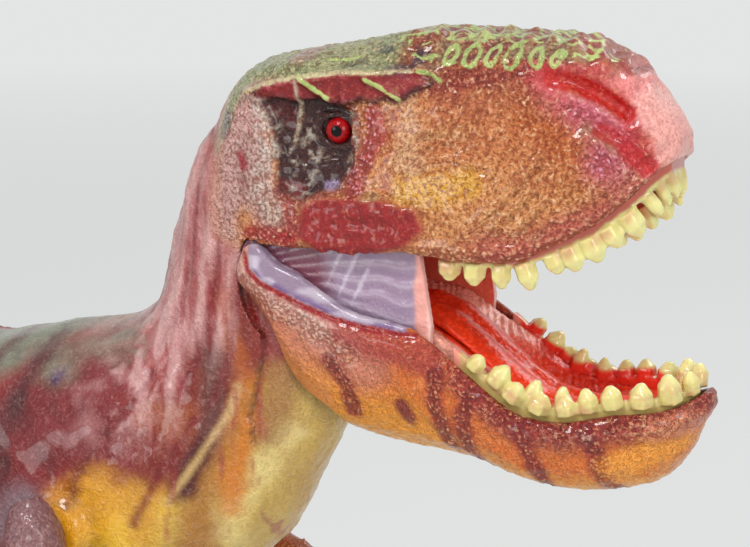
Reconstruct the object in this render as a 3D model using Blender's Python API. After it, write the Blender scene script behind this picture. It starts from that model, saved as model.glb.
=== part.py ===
"""Articulated soft-vinyl toy tyrannosaur, standing on two feet with its mouth open.

One hollow skin makes the skull, neck and trunk. The lower jaw hangs in it on a steel pin, and the arms,
legs and tail are hollow mouldings whose flanged necks snap into round holes of the trunk. Teeth, palate,
mouth floor, tongue, cheek webs and eyes are inserts.

Lengths are in metres. The figure faces -Y and stands on Z = 0. Side-view places are written as
(forward, rise) from the jaw hinge, and tables of shares give outlines as parts of the named sizes.
"""

import math

import bmesh
import bpy
from mathutils import Matrix, Vector

# Where the jaw hinge lies over the floor and in front of the origin
HINGE_HEIGHT = 0.197
HINGE_FORWARD = 0.156

# Skin and running gaps
SKIN = 0.0022
HEAD_WALL = 0.0042
CHEEK_WALL = 0.0021
SEAT_GAP = 0.0003
RUNNING_GAP = 0.0004
OVERRUN = 0.004

# Neck, trunk and tail
CORE_HALF_WIDTH = 0.0168
NECK_HALF_WIDTH = 0.0195
TRUNK_LENGTH = 0.180
TRUNK_DEPTH = 0.080
TRUNK_HALF_WIDTH = 0.035
SEAM_RADIUS = 0.028
TAIL_LENGTH = 0.232
TAIL_DROP = 0.052
TAIL_TIP_RADIUS = 0.0028

# Skull and lower jaw
HEAD_LENGTH = 0.100
HEAD_DEPTH = 0.050
JAW_LENGTH_SHARE = 1.0
JAW_DEPTH = 0.046
JAW_OPENING_DEGREES = 2
WEB_THICKNESS = 0.0022
WEB_EYE_RADIUS = 0.0046
PIN_RADIUS = 0.0015
PIN_END = 0.0012

# Teeth and mouth inserts
LIP_WALL = 0.0014
RAIL_WIDTH = 0.0024
RAIL_HEIGHT = 0.0040
UPPER_TOOTH_LENGTH = 0.0056
LOWER_TOOTH_LENGTH = 0.0062
TOOTH_HALF_WIDTH_SHARE = 0.030
PALATE_THICKNESS = 0.0036
FLOOR_THICKNESS = 0.0044
TONGUE_HALF_WIDTH = 0.0088
TONGUE_HEIGHT = 0.0046
FLOOR_SAG = 0.0024
FLOOR_RIDGE = 0.0006

# Eyes
EYE_RADIUS = 0.0036
EYE_STEM_RADIUS = 0.0022
EYE_FORWARD_SHARE = 0.192
EYE_RISE_SHARE = 0.584
EYE_OUT_SHARE = 0.80

# Snap joints of the limbs and the tail
HIP_FORWARD = -0.116
HIP_RISE = -0.074
HIP_SEAT_RADIUS = 0.0175
HIP_HOLE_RADIUS = 0.0090
HIP_SEAT_OUT = 0.0355
SHOULDER_FORWARD = -0.050
SHOULDER_RISE = -0.070
SHOULDER_SEAT_RADIUS = 0.0080
SHOULDER_HOLE_RADIUS = 0.0042
SHOULDER_SEAT_OUT = 0.0338
TAIL_HOLE_RADIUS = 0.0140
FLANGE_LIP = 0.0026
FLANGE_THICKNESS = 0.0020

# Legs and arms
THIGH_DEPTH = 0.033
THIGH_THICKNESS = 0.0165
FOOT_LENGTH = 0.086
TOE_RADIUS = 0.0088
CLAW_LENGTH = 0.0130
ARM_LENGTH = 0.046
ARM_RADIUS = 0.0072
FINGER_CLAW_LENGTH = 0.0060

# Derived lengths and heights
JAW_LENGTH = HEAD_LENGTH * JAW_LENGTH_SHARE
ROOF_HEIGHT = RAIL_HEIGHT + SEAT_GAP * 3
EYE_FORWARD = HEAD_LENGTH * EYE_FORWARD_SHARE
EYE_RISE = HEAD_DEPTH * EYE_RISE_SHARE
TOOTH_HALF_WIDTH = HEAD_LENGTH * TOOTH_HALF_WIDTH_SHARE

# Derived widths across the jaw joint, from the core of the neck outwards
FORK_HALF_GAP = CORE_HALF_WIDTH + RUNNING_GAP
WEB_OUT = FORK_HALF_GAP + WEB_THICKNESS
SLOT_OUT = WEB_OUT + RUNNING_GAP + SEAT_GAP
HEAD_HALF_WIDTH = SLOT_OUT + CHEEK_WALL + SEAT_GAP
JAW_HALF_WIDTH = HEAD_HALF_WIDTH - SEAT_GAP
EYE_OUT = HEAD_HALF_WIDTH * EYE_OUT_SHARE

# Side view of neck and trunk, head to tail. Each row has the back point and the throat or belly point as
# (forward, rise), in shares of TRUNK_LENGTH and TRUNK_DEPTH, then its half width in shares of
# NECK_HALF_WIDTH and of TRUNK_HALF_WIDTH.
TRUNK_SHARES = (
    (-0.044, 0.41, 0.083, 0.15, 0.80, 0.0),
    (-0.094, 0.375, 0.089, 0.012, 0.97, 0.0),
    (-0.139, 0.25, 0.089, -0.16, 1.0, 0.0),
    (-0.167, 0.062, 0.083, -0.34, 1.0, 0.0),
    (-0.186, -0.10, 0.069, -0.525, 1.0, 0.0),
    (-0.214, -0.225, 0.028, -0.71, 0.56, 0.28),
    (-0.267, -0.29, -0.028, -0.94, 0.20, 0.62),
    (-0.367, -0.325, -0.144, -1.16, 0.0, 0.87),
    (-0.500, -0.40, -0.311, -1.33, 0.0, 0.97),
    (-0.640, -0.43, -0.500, -1.39, 0.0, 1.0),
    (-0.780, -0.465, -0.690, -1.385, 0.0, 0.97),
    (-0.900, -0.52, -0.872, -1.325, 0.0, 0.90),
)

# Skull rails, back of the skull to the snout. Each row has the place along HEAD_LENGTH, then six
# (half width, rise) pairs in shares of HEAD_HALF_WIDTH and HEAD_DEPTH: crown, crown edge, brow, eye
# hollow, cheek and lip. The lip turns under by its own share.
HEAD_SHARES = (
    (-0.160, 0.0, 0.66, 0.20, 0.64, 0.42, 0.56, 0.55, 0.46, 0.62, 0.30, 0.58, 0.16),
    (-0.110, 0.0, 0.79, 0.32, 0.77, 0.60, 0.69, 0.72, 0.54, 0.80, 0.30, 0.78, 0.09),
    (-0.050, 0.0, 0.86, 0.37, 0.85, 0.72, 0.77, 0.80, 0.57, 0.88, 0.31, 0.88, 0.072),
    (0.010, 0.0, 0.895, 0.39, 0.89, 0.79, 0.81, 0.83, 0.59, 0.93, 0.31, 0.95, 0.068),
    (0.090, 0.0, 0.92, 0.40, 0.92, 0.84, 0.85, 0.82, 0.62, 0.96, 0.32, 0.99, 0.070),
    (0.180, 0.0, 0.95, 0.40, 0.95, 0.86, 0.83, 0.80, 0.65, 0.95, 0.34, 1.00, 0.075),
    (0.280, 0.0, 0.99, 0.39, 0.985, 0.80, 0.83, 0.81, 0.68, 0.94, 0.36, 1.00, 0.085),
    (0.380, 0.0, 1.01, 0.37, 1.00, 0.72, 0.84, 0.82, 0.68, 0.94, 0.39, 0.99, 0.098),
    (0.500, 0.0, 1.02, 0.35, 1.005, 0.65, 0.87, 0.80, 0.66, 0.93, 0.40, 0.98, 0.095),
    (0.620, 0.0, 1.01, 0.33, 0.995, 0.59, 0.87, 0.75, 0.66, 0.88, 0.42, 0.92, 0.10),
    (0.700, 0.0, 0.99, 0.33, 0.975, 0.55, 0.865, 0.69, 0.66, 0.81, 0.45, 0.84, 0.165),
    (0.780, 0.0, 0.94, 0.33, 0.925, 0.50, 0.82, 0.62, 0.65, 0.71, 0.49, 0.73, 0.25),
    (0.850, 0.0, 0.83, 0.30, 0.815, 0.44, 0.75, 0.53, 0.65, 0.60, 0.55, 0.61, 0.37),
    (0.900, 0.0, 0.72, 0.24, 0.71, 0.33, 0.68, 0.40, 0.63, 0.44, 0.57, 0.44, 0.48),
    (0.930, 0.0, 0.63, 0.13, 0.625, 0.19, 0.615, 0.23, 0.59, 0.25, 0.56, 0.24, 0.525),
)

UPPER_FRONT = HEAD_LENGTH * HEAD_SHARES[-1][0]

# Raised or hollowed spots of the skull: (forward share, half width share, rise share, reach share of
# HEAD_DEPTH, height share of HEAD_DEPTH). A negative height makes a hollow.
HEAD_SPOT_SHARES = (
    (0.100, 0.90, 0.84, 0.09, 0.050),
    (0.275, 0.84, 0.86, 0.09, 0.045),
    (0.185, 0.82, 0.59, 0.15, -0.050),
    (0.350, 0.45, 1.00, 0.11, 0.035),
    (0.690, 0.45, 0.97, 0.12, 0.035),
    (0.740, 0.60, 0.79, 0.09, -0.045),
    (0.810, 0.60, 0.70, 0.09, -0.040),
    (0.300, 1.00, 0.34, 0.18, 0.030),
    (0.520, 0.96, 0.26, 0.24, 0.035),
)

# Lower jaw at rest, hinge to chin: place along JAW_LENGTH, then half width in shares of JAW_HALF_WIDTH,
# rim rise and keel rise in shares of JAW_DEPTH
JAW_SHARES = (
    (-0.050, 0.93, -0.07, -0.20),
    (-0.030, 0.97, 0.035, -0.30),
    (0.000, 0.99, 0.062, -0.39),
    (0.026, 1.00, 0.035, -0.46),
    (0.060, 1.00, -0.025, -0.66),
    (0.115, 1.00, -0.070, -0.81),
    (0.200, 1.00, -0.176, -0.90),
    (0.270, 1.00, -0.236, -0.935),
    (0.390, 0.99, -0.278, -0.95),
    (0.500, 0.97, -0.440, -0.96),
    (0.580, 0.93, -0.575, -1.01),
    (0.640, 0.88, -0.650, -1.04),
    (0.730, 0.79, -0.670, -1.06),
    (0.820, 0.68, -0.625, -1.04),
    (0.900, 0.54, -0.610, -0.985),
    (0.950, 0.39, -0.585, -0.89),
    (0.985, 0.23, -0.545, -0.77),
    (1.003, 0.10, -0.520, -0.66),
)

LOWER_FRONT = JAW_LENGTH * JAW_SHARES[-1][0]

# Side outline of a cheek web below and in front of its eye, as (forward, rise) in shares of HEAD_LENGTH
# and HEAD_DEPTH: first the sunk lower edge from the rear, then the free front and upper edges
WEB_SUNK_SHARES = ((0.000, -0.105), (0.100, -0.28), (0.260, -0.36), (0.425, -0.34))
WEB_FREE_SHARES = ((0.428, -0.25), (0.393, 0.15), (0.200, 0.13), (0.050, 0.10))

# Tail, seam to tip: place along TAIL_LENGTH, drop in shares of TAIL_DROP, radius in shares of SEAM_RADIUS
TAIL_SHARES = (
    (0.000, 0.0, 1.0),
    (0.060, 0.04, 0.975),
    (0.160, 0.19, 0.87),
    (0.290, 0.44, 0.71),
    (0.430, 0.68, 0.56),
    (0.580, 0.88, 0.42),
    (0.730, 0.99, 0.29),
    (0.870, 1.0, 0.19),
    (1.000, 0.94, 0.10),
)

# Leg from the top of the thigh to the heel: (forward, rise) from the hip in shares of the hip height, then
# fore-and-aft half depth in shares of THIGH_DEPTH, thickness in shares of THIGH_THICKNESS and the
# outward step of the centre in shares of THIGH_THICKNESS
LEG_SHARES = (
    (-0.050, 0.235, 0.44, 0.55, 0.30),
    (-0.025, 0.155, 0.82, 0.92, 0.52),
    (0.010, 0.000, 1.00, 1.12, 0.74),
    (0.060, -0.150, 0.94, 1.06, 0.80),
    (0.120, -0.290, 0.75, 0.92, 0.88),
    (0.140, -0.420, 0.54, 0.76, 0.92),
    (0.095, -0.550, 0.40, 0.64, 0.95),
    (0.055, -0.680, 0.33, 0.58, 0.95),
    (0.050, -0.800, 0.33, 0.59, 0.95),
    (0.075, -0.900, 0.38, 0.67, 0.95),
)
TOE_TURN_DEGREES = (-21, 0, 21)
TOE_REACH_SHARES = (0.86, 1.0, 0.86)

# Arm from the shoulder to the wrist: (forward, rise) from the shoulder in shares of ARM_LENGTH, radius in
# shares of ARM_RADIUS and outward step of the centre in shares of ARM_RADIUS
ARM_SHARES = (
    (-0.06, 0.20, 0.55, 0.75),
    (0.00, 0.08, 0.95, 0.95),
    (0.03, -0.10, 1.05, 1.10),
    (0.05, -0.30, 0.88, 1.20),
    (0.12, -0.46, 0.78, 1.25),
    (0.30, -0.53, 0.70, 1.25),
    (0.48, -0.56, 0.55, 1.20),
    (0.60, -0.59, 0.50, 1.15),
)

# Tongue from root to tip: place along JAW_LENGTH, half width in shares of TONGUE_HALF_WIDTH, height in
# shares of TONGUE_HEIGHT; then its section as (across, height) shares, over the top and back underneath
TONGUE_SHARES = (
    (0.20, 0.62, 0.50),
    (0.28, 0.92, 0.90),
    (0.42, 1.00, 1.00),
    (0.58, 1.00, 1.00),
    (0.70, 0.84, 0.92),
    (0.79, 0.56, 0.70),
    (0.83, 0.30, 0.45),
)
TONGUE_SECTION_SHARES = (
    (-1.00, 0.35), (-0.72, 0.85), (-0.36, 1.00), (0.00, 0.72), (0.36, 1.00), (0.72, 0.85), (1.00, 0.35),
    (0.80, -0.60), (0.00, -0.60), (-0.80, -0.60),
)

# Places along the length of a lip or a rim, back to front, where the pieces beside it have a section
STATION_SHARES = (0.0, 0.12, 0.24, 0.36, 0.48, 0.59, 0.69, 0.78, 0.85, 0.90, 0.94, 0.97, 0.99)
UPPER_ROW_START_SHARE = 0.450
LOWER_ROW_START_SHARE = 0.480
THROAT_SHARE = 0.165
JAW_HOLLOW_START_SHARE = 0.10
LIP_TURN_SHARE = 0.09
JAW_ROOM_SHARE = 0.30
WEB_POCKET_TOP_SHARE = 0.42
WEB_SWEEP_BELOW_DEGREES = 12
TOOTH_SPLAY_SHARE = 0.06
TOOTH_PROFILE_SHARES = ((0.0, 0.96), (0.62, 0.92), (1.0, 0.30))

# Teeth of one side, back to front: place along the half row, then half width in shares of TOOTH_HALF_WIDTH,
# length in shares of the row's tooth length and set-back from the row in shares of TOOTH_HALF_WIDTH
UPPER_TOOTH_SHARES = (
    (0.040, 0.92, 0.78, 0.0),
    (0.135, 0.92, 0.90, 0.0),
    (0.230, 0.80, 0.94, 0.0),
    (0.305, 0.88, 1.06, 0.0),
    (0.405, 0.84, 0.82, 0.1),
    (0.472, 0.92, 0.98, 0.0),
    (0.550, 0.96, 1.02, 0.0),
    (0.620, 0.88, 0.92, 0.0),
    (0.700, 0.96, 1.02, 0.0),
    (0.795, 0.58, 0.95, 0.0),
    (0.860, 0.52, 1.00, 0.0),
    (0.917, 0.48, 0.98, 0.0),
    (0.972, 0.48, 0.92, 0.0),
)
LOWER_TOOTH_SHARES = (
    (0.083, 0.76, 0.62, 0.0),
    (0.178, 0.86, 0.86, 0.3),
    (0.255, 0.92, 0.70, 0.0),
    (0.331, 0.74, 1.00, 0.5),
    (0.368, 0.96, 0.68, 0.0),
    (0.461, 0.66, 0.96, 0.5),
    (0.490, 0.92, 0.66, 0.0),
    (0.571, 0.82, 0.84, 0.1),
    (0.658, 0.90, 0.82, 0.0),
    (0.756, 0.98, 0.84, 0.0),
    (0.868, 0.98, 1.00, 0.0),
    (0.958, 0.70, 0.84, 0.0),
)

# Section of the jaw from rim to keel as (out, down) shares, and sizes of eye, heel, toe and claw
JAW_SECTION_SHARES = (
    (1.00, 0.00), (1.03, 0.18), (1.03, 0.40), (0.96, 0.62), (0.80, 0.82), (0.52, 0.95), (0.26, 0.99)
)
EYE_SHARES = ((0.0, 1.0), (0.22, 0.94), (0.42, 0.72), (0.56, 0.42), (0.62, 0.12))
HEEL_SHARES = ((0.21, 0.70, 0.45), (0.16, 0.84, 1.05), (-0.10, 1.12, 1.35))
TOE_SHARES = (
    (0.0, 1.15, 1.35), (0.20, 0.92, 1.10), (0.38, 0.78, 0.98), (0.55, 0.76, 0.98), (0.66, 0.62, 0.60),
)
CLAW_PROFILE_SHARES = ((0.0, 0.80), (0.30, 1.0), (0.65, 0.62), (1.0, 0.12))
CLAW_TIP_SHARE = 0.30
CLAW_SHARE = 0.50
FINGER_LEAN_SHARE = 0.35
FINGER_SHARES = (0.45, 0.38)
FINGER_DROP_SHARES = (-0.45, -0.90)
FINGER_CLAW_SHARE = 0.33
BOSS_ROOT_SHARE = 0.40
OVAL_SHARE = 1.12

# Counts of points round the sections
RING = 20
HOLLOW_RING = 14
HEAD_HALF_RING = 13
HOLLOW_HALF_RING = 8
TAIL_RING = 16
LEG_RING = 16
ROUND = 16
SMALL_RING = 8
SLAB_STEPS = 6

SKIN_COLOUR = (0.42, 0.07, 0.07, 1.0)
JAW_COLOUR = (0.62, 0.20, 0.05, 1.0)
MOUTH_COLOUR = (0.70, 0.04, 0.02, 1.0)
WEB_COLOUR = (0.36, 0.30, 0.42, 1.0)
TOOTH_COLOUR = (0.72, 0.72, 0.40, 1.0)
EYE_COLOUR = (0.60, 0.01, 0.02, 1.0)
STEEL_COLOUR = (0.60, 0.60, 0.62, 1.0)


# Scene helpers


def clear_scene():
    for obj in list(bpy.data.objects):
        bpy.data.objects.remove(obj, do_unlink=True)


def material(name, colour, roughness, metallic=0.0):
    made = bpy.data.materials.new(name)
    made.use_nodes = True
    shader = made.node_tree.nodes["Principled BSDF"]
    shader.inputs["Base Color"].default_value = colour
    shader.inputs["Roughness"].default_value = roughness
    shader.inputs["Metallic"].default_value = metallic
    return made


def new_object(name, mesh_builder, finish=None):
    """An object from a bmesh, with its faces pointing out and shaded smooth."""
    bmesh.ops.remove_doubles(mesh_builder, verts=mesh_builder.verts, dist=SEAT_GAP / 10)
    bmesh.ops.recalc_face_normals(mesh_builder, faces=mesh_builder.faces)
    mesh = bpy.data.meshes.new(name)
    mesh_builder.to_mesh(mesh)
    mesh_builder.free()
    mesh.shade_smooth()
    obj = bpy.data.objects.new(name, mesh)
    bpy.context.scene.collection.objects.link(obj)
    if finish:
        mesh.materials.append(finish)
    return obj


def without_slivers(mesh):
    """Dissolves edges and faces far thinner than the seat gap, if the mesh stays closed without them."""
    cleaned = bmesh.new()
    cleaned.from_mesh(mesh)
    bmesh.ops.dissolve_degenerate(cleaned, edges=cleaned.edges, dist=SEAT_GAP / 10)
    if all(edge.is_manifold for edge in cleaned.edges):
        cleaned.to_mesh(mesh)
    cleaned.free()


def applied(obj):
    """Turns the object's modifiers into its mesh and removes the helpers that they used."""
    helpers = [m.object for m in obj.modifiers if m.type == "BOOLEAN" and m.object]
    graph = bpy.context.evaluated_depsgraph_get()
    mesh = bpy.data.meshes.new_from_object(obj.evaluated_get(graph))
    without_slivers(mesh)
    materials = list(obj.data.materials)
    obj.modifiers.clear()
    obj.data = mesh
    mesh.materials.clear()
    for finish in materials:
        mesh.materials.append(finish)
    for helper in set(helpers):
        bpy.data.objects.remove(helper, do_unlink=True)
    return obj


def combine(obj, helper, operation):
    """Cuts the helper from the object, joins it, or keeps only what both share."""
    helper.hide_render = True
    helper.display_type = "WIRE"
    modifier = obj.modifiers.new(operation.lower(), "BOOLEAN")
    modifier.operation = operation
    modifier.object = helper
    modifier.solver = "MANIFOLD"
    return applied(obj)


def cut(obj, helper):
    return combine(obj, helper, "DIFFERENCE")


def join(obj, helper):
    return combine(obj, helper, "UNION")


def mirrored(obj, name):
    """A copy on the other side of the plane of symmetry."""
    mesh = obj.data.copy()
    mesh.transform(Matrix.Scale(-1, 4, Vector((1, 0, 0))))
    mesh.flip_normals()
    copy = bpy.data.objects.new(name, mesh)
    copy.location = obj.location * Vector((-1, 1, 1))
    bpy.context.scene.collection.objects.link(copy)
    return copy


def set_origin(obj, point):
    """Puts the object's origin on its joint without moving its surface."""
    obj.data.transform(Matrix.Translation(obj.location - point))
    obj.location = point


# Places and curves


def place(forward, rise, out=0.0):
    """A point of the figure from its side-view place and its distance from the middle plane."""
    return Vector((out, -(HINGE_FORWARD + forward), HINGE_HEIGHT + rise))


def catmull_rom(a, b, c, d, t):
    return tuple(
        0.5 * (2 * q + (r - p) * t + (2 * p - 5 * q + 4 * r - s) * t**2 + (3 * q - p - 3 * r + s) * t**3)
        for p, q, r, s in zip(a, b, c, d)
    )


def smooth_rows(rows, steps):
    """Rows of a table with more rows between them, on a smooth curve through them."""
    made = []
    for i in range(len(rows) - 1):
        around = (rows[max(i - 1, 0)], rows[i], rows[i + 1], rows[min(i + 2, len(rows) - 1)])
        made += [catmull_rom(*around, step / steps) for step in range(steps)]
    return made + [tuple(rows[-1])]


def row_at(rows, along):
    """The table's row at a place given in its first column."""
    finer = smooth_rows(rows, 8)
    for low, high in zip(finer, finer[1:]):
        if low[0] <= along <= high[0]:
            t = (along - low[0]) / (high[0] - low[0])
            return tuple(a + (b - a) * t for a, b in zip(low, high))
    return finer[0] if along < finer[0][0] else finer[-1]


# Solids


def loft(name, rings, finish=None, bent=False):
    """A closed solid through rings of points. A fan closes each end, or a ladder if the section is bent."""
    built = bmesh.new()
    layers = [[built.verts.new(point) for point in ring] for ring in rings]
    count = len(layers[0])
    for low, high in zip(layers, layers[1:]):
        for i in range(count):
            j = (i + 1) % count
            built.faces.new((low[i], low[j], high[j], high[i]))
    for layer in (layers[0], layers[-1]):
        if bent:
            for i in range(count // 2 - 1):
                built.faces.new((layer[i], layer[i + 1], layer[-2 - i], layer[-1 - i]))
            continue
        middle = sum((v.co for v in layer), Vector()) / count
        tip = built.verts.new(middle)
        for i in range(count):
            built.faces.new((layer[i], layer[(i + 1) % count], tip))
    return new_object(name, built, finish)


def ellipse_ring(centre, first_axis, second_axis, count=RING, squareness=1.0):
    """Points of an ellipse, or with a squareness over 1 of a fuller oval, round a centre."""
    points = []
    for i in range(count):
        angle = 2 * math.pi * i / count
        c, s = math.cos(angle), math.sin(angle)
        fuller = (abs(c) ** (2 * squareness) + abs(s) ** (2 * squareness)) ** (-1 / (2 * squareness))
        points.append(centre + first_axis * c * fuller + second_axis * s * fuller)
    return points


def tube(name, centres, radii, finish=None, count=12):
    """A solid round a path, with a circle at each point square to the path."""
    rings = []
    for i, (centre, radius) in enumerate(zip(centres, radii)):
        along = (centres[min(i + 1, len(centres) - 1)] - centres[max(i - 1, 0)]).normalized()
        side = Vector((1, 0, 0)) if abs(along.x) < 0.9 else Vector((0, 0, 1))
        first = along.cross(side).normalized()
        second = along.cross(first)
        rings.append(ellipse_ring(centre, first * radius, second * radius, count))
    return loft(name, rings, finish)


def cylinder(name, start, end, radius, finish=None, count=ROUND):
    return tube(name, [start, end], [radius, radius], finish, count)


def spindle(name, start, end, radius, profile, count):
    """A claw or a tooth: a round solid whose radius follows a profile of (place, radius) shares."""
    centres = [start + (end - start) * along for along, _ in profile]
    return tube(name, centres, [radius * share for _, share in profile], None, count)


def raise_spots(obj, spots):
    """Pushes the surface out, or in, round each (centre, reach, height)."""
    mesh = obj.data
    normals = [v.normal.copy() for v in mesh.vertices]
    for centre, reach, height in spots:
        for vertex, normal in zip(mesh.vertices, normals):
            near = math.exp(-((vertex.co - centre).length_squared) / reach**2)
            vertex.co += normal * height * near


def prism(name, outline, inner, outer):
    """A solid with a side-view outline of (forward, rise) points, between two distances from the middle."""
    return loft(name, [[place(f, r, out) for f, r in outline] for out in (inner, outer)])


def arc(radius, start_degrees, end_degrees, steps):
    """Points (forward, rise) on a circle about the hinge."""
    angles = [start_degrees + (end_degrees - start_degrees) * i / steps for i in range(steps + 1)]
    return [(radius * math.cos(math.radians(a)), radius * math.sin(math.radians(a))) for a in angles]


def turned(outline, degrees):
    """The outline swung about the hinge, nose up."""
    c, s = math.cos(math.radians(degrees)), math.sin(math.radians(degrees))
    return [(f * c - r * s, f * s + r * c) for f, r in outline]


# Neck and trunk


def trunk_ring(row, inset=0.0, most=None, count=RING):
    back = place(row[0] * TRUNK_LENGTH, row[1] * TRUNK_DEPTH)
    belly = place(row[2] * TRUNK_LENGTH, row[3] * TRUNK_DEPTH)
    half_width = row[4] * NECK_HALF_WIDTH + row[5] * TRUNK_HALF_WIDTH - inset
    if most:
        half_width = min(half_width, most)
    upright = (back - belly) / 2
    upright -= upright.normalized() * inset
    return ellipse_ring((back + belly) / 2, upright, Vector((half_width, 0, 0)), count, OVAL_SHARE)


def seam_ring(forward, radius, count=RING):
    centre = place(forward, seam_rise())
    return ellipse_ring(centre, Vector((0, 0, radius)), Vector((radius, 0, 0)), count)


def seam_rise():
    """Height of the tail's swivel axis: the middle of the last trunk section."""
    back, belly = TRUNK_SHARES[-1][1], TRUNK_SHARES[-1][3]
    return (back + belly) / 2 * TRUNK_DEPTH


def trunk_solid():
    rings = [trunk_ring(row) for row in smooth_rows(TRUNK_SHARES, 2)]
    rings.append(seam_ring(-TRUNK_LENGTH, SEAM_RADIUS))
    return loft("body_shell", rings)


def trunk_hollow():
    """The space inside neck and trunk, narrow where the neck is the core between the sides of the jaw."""
    rings = []
    for row in TRUNK_SHARES[1:]:
        in_core = row[5] == 0 or row[4] > row[5]
        most = CORE_HALF_WIDTH - SKIN if in_core and row[4] else None
        rings.append(trunk_ring(row, SKIN, most, HOLLOW_RING))
    rings.append(seam_ring(-TRUNK_LENGTH + SKIN, SEAM_RADIUS - SKIN, HOLLOW_RING))
    return loft("trunk_hollow", rings)


# Skull


def head_ring(row, inset=0.0, lowest=None, half_count=HEAD_HALF_RING):
    """A skull section: a smooth curve through the rails of each side and under the lip."""
    forward = row[0] * HEAD_LENGTH
    rails = [(row[i] * HEAD_HALF_WIDTH, row[i + 1] * HEAD_DEPTH) for i in range(1, 13, 2)]
    rails.append(((row[11] - LIP_TURN_SHARE) * HEAD_HALF_WIDTH, row[12] * HEAD_DEPTH))
    middle_rise = sum(rise for _, rise in rails) / len(rails)
    half = []
    for out, rise in rails:
        away = Vector((out, rise - middle_rise))
        away -= away.normalized() * min(inset, away.length / 2)
        half.append((away.x, away.y + middle_rise))
    half.append((0.0, half[-1][1]))
    half[0] = (0.0, half[0][1])
    if lowest is not None:
        half = [(out, max(rise, lowest)) for out, rise in half]
    curve = smooth_rows(half, 3)
    spaced = [curve[round(i * (len(curve) - 1) / half_count)] for i in range(half_count + 1)]
    right = [place(forward, rise, out) for out, rise in spaced]
    left = [place(forward, rise, -out) for out, rise in reversed(spaced[1:-1])]
    return right + left


def head_spots():
    spots = []
    for along, out, rise, reach, height in HEAD_SPOT_SHARES:
        for side in (-1, 1):
            centre = place(along * HEAD_LENGTH, rise * HEAD_DEPTH, side * out * HEAD_HALF_WIDTH)
            spots.append((centre, reach * HEAD_DEPTH, height * HEAD_DEPTH))
    return spots


def head_solid():
    head = loft("head_solid", [head_ring(row) for row in smooth_rows(HEAD_SHARES, 2)])
    raise_spots(head, head_spots())
    return head


def head_hollow():
    """The space inside the skull, above the palate's seat and the pockets of the cheek webs."""
    rings = []
    for row in HEAD_SHARES[2:-3]:
        seat = lip_rise(row[0] * HEAD_LENGTH) + ROOF_HEIGHT
        lowest = max(seat, WEB_POCKET_TOP_SHARE * HEAD_DEPTH) + SKIN
        rings.append(head_ring(row, HEAD_WALL, lowest, HOLLOW_HALF_RING))
    return loft("head_hollow", rings)


# Lips and rims, and the lines that run beside them


def lip_rise(forward):
    return row_at(HEAD_SHARES, forward / HEAD_LENGTH)[12] * HEAD_DEPTH


def upper_edge(forward):
    """Half width and rise of the upper lip."""
    row = row_at(HEAD_SHARES, forward / HEAD_LENGTH)
    return row[11] * HEAD_HALF_WIDTH, row[12] * HEAD_DEPTH


def lower_edge(forward):
    """Half width and rise of the jaw's rim."""
    row = row_at(JAW_SHARES, forward / JAW_LENGTH)
    return row[1] * JAW_HALF_WIDTH, row[2] * JAW_DEPTH


def edge_line(edge, start, end, inset):
    """Points (forward, out, rise) from the back to the front of one side, inside a lip or a rim."""
    stations = [start + (end - start) * share for share in STATION_SHARES]
    line = [(forward, edge(forward)[0]) for forward in stations]
    moved = []
    for i, (forward, out) in enumerate(line):
        before, after = line[max(i - 1, 0)], line[min(i + 1, len(line) - 1)]
        along = Vector((after[0] - before[0], after[1] - before[1])).normalized()
        spot = (forward + along.y * inset, out - along.x * inset)
        if spot[1] > inset / 2 and spot[0] < end - inset:
            moved.append((*spot, edge(spot[0])[1]))
    tip = end - inset
    return moved + [(tip, 0.0, edge(tip)[1])]


def slab(name, line, low, high, finish=None, sag=0.0, ridge=0.0):
    """A plate between the two sides of a line. Low and high are heights over it.

    Sag bends its middle, and ridge raises the sides of its top."""
    rings = []
    for forward, out, rise in line:
        half = max(out, LIP_WALL)
        bottom, top = [], []
        for i in range(SLAB_STEPS + 1):
            share = 2 * i / SLAB_STEPS - 1
            dip = sag * (1 - share**2) * min(half / TONGUE_HALF_WIDTH, 1.0)
            bottom.append(place(forward, rise + low + dip, share * half))
            top.append(place(forward, rise + high + dip + ridge * share**4, -share * half))
        rings.append(bottom + top)
    return loft(name, rings, finish, bent=sag != 0.0)


def limited(line, start, most):
    """The line with its rear part, up to a place, kept within a half width."""
    before = [point for point in line if point[0] < start]
    after = [point for point in line if point[0] >= start]
    kept = [(f, min(o, most), r) for f, o, r in before]
    if before and after:
        (f0, o0, r0), (f1, o1, r1) = before[-1], after[0]
        share = (start - f0) / (f1 - f0)
        out, rise = o0 + (o1 - o0) * share, r0 + (r1 - r0) * share
        kept += [(start - SEAT_GAP, min(out, most), rise), (start, out, rise)]
    return kept + after


def both_sides(line):
    """The line of one side carried on round the front and back along the other side."""
    right = [Vector(point) for point in line]
    return right + [Vector((f, -o, r)) for f, o, r in reversed(line[:-1])]


def place_on(points, share):
    """The place at a share of the way along a line of points, and the line's direction there."""
    lengths = [(b - a).length for a, b in zip(points, points[1:])]
    wanted = sum(lengths) * share
    i = 0
    while i < len(lengths) - 1 and wanted > lengths[i]:
        wanted -= lengths[i]
        i += 1
    along = (points[i + 1] - points[i]).normalized()
    return points[i] + along * wanted, along


def rail(name, edge, start, end, inset, low, high, finish):
    """A bar that follows a lip or rim inside it, between two heights over it."""
    points = both_sides(edge_line(edge, start, end, inset))
    rings = []
    for i, point in enumerate(points):
        along = points[min(i + 1, len(points) - 1)] - points[max(i - 1, 0)]
        across = Vector((along.y, -along.x, 0.0)).normalized() * RAIL_WIDTH / 2
        ring = []
        for side, level in ((1, low), (-1, low), (-1, high), (1, high)):
            spot = point + across * side
            ring.append(place(spot.x, edge(spot.x)[1] + level, spot.y))
        rings.append(ring)
    return loft(name, rings, finish)


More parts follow.
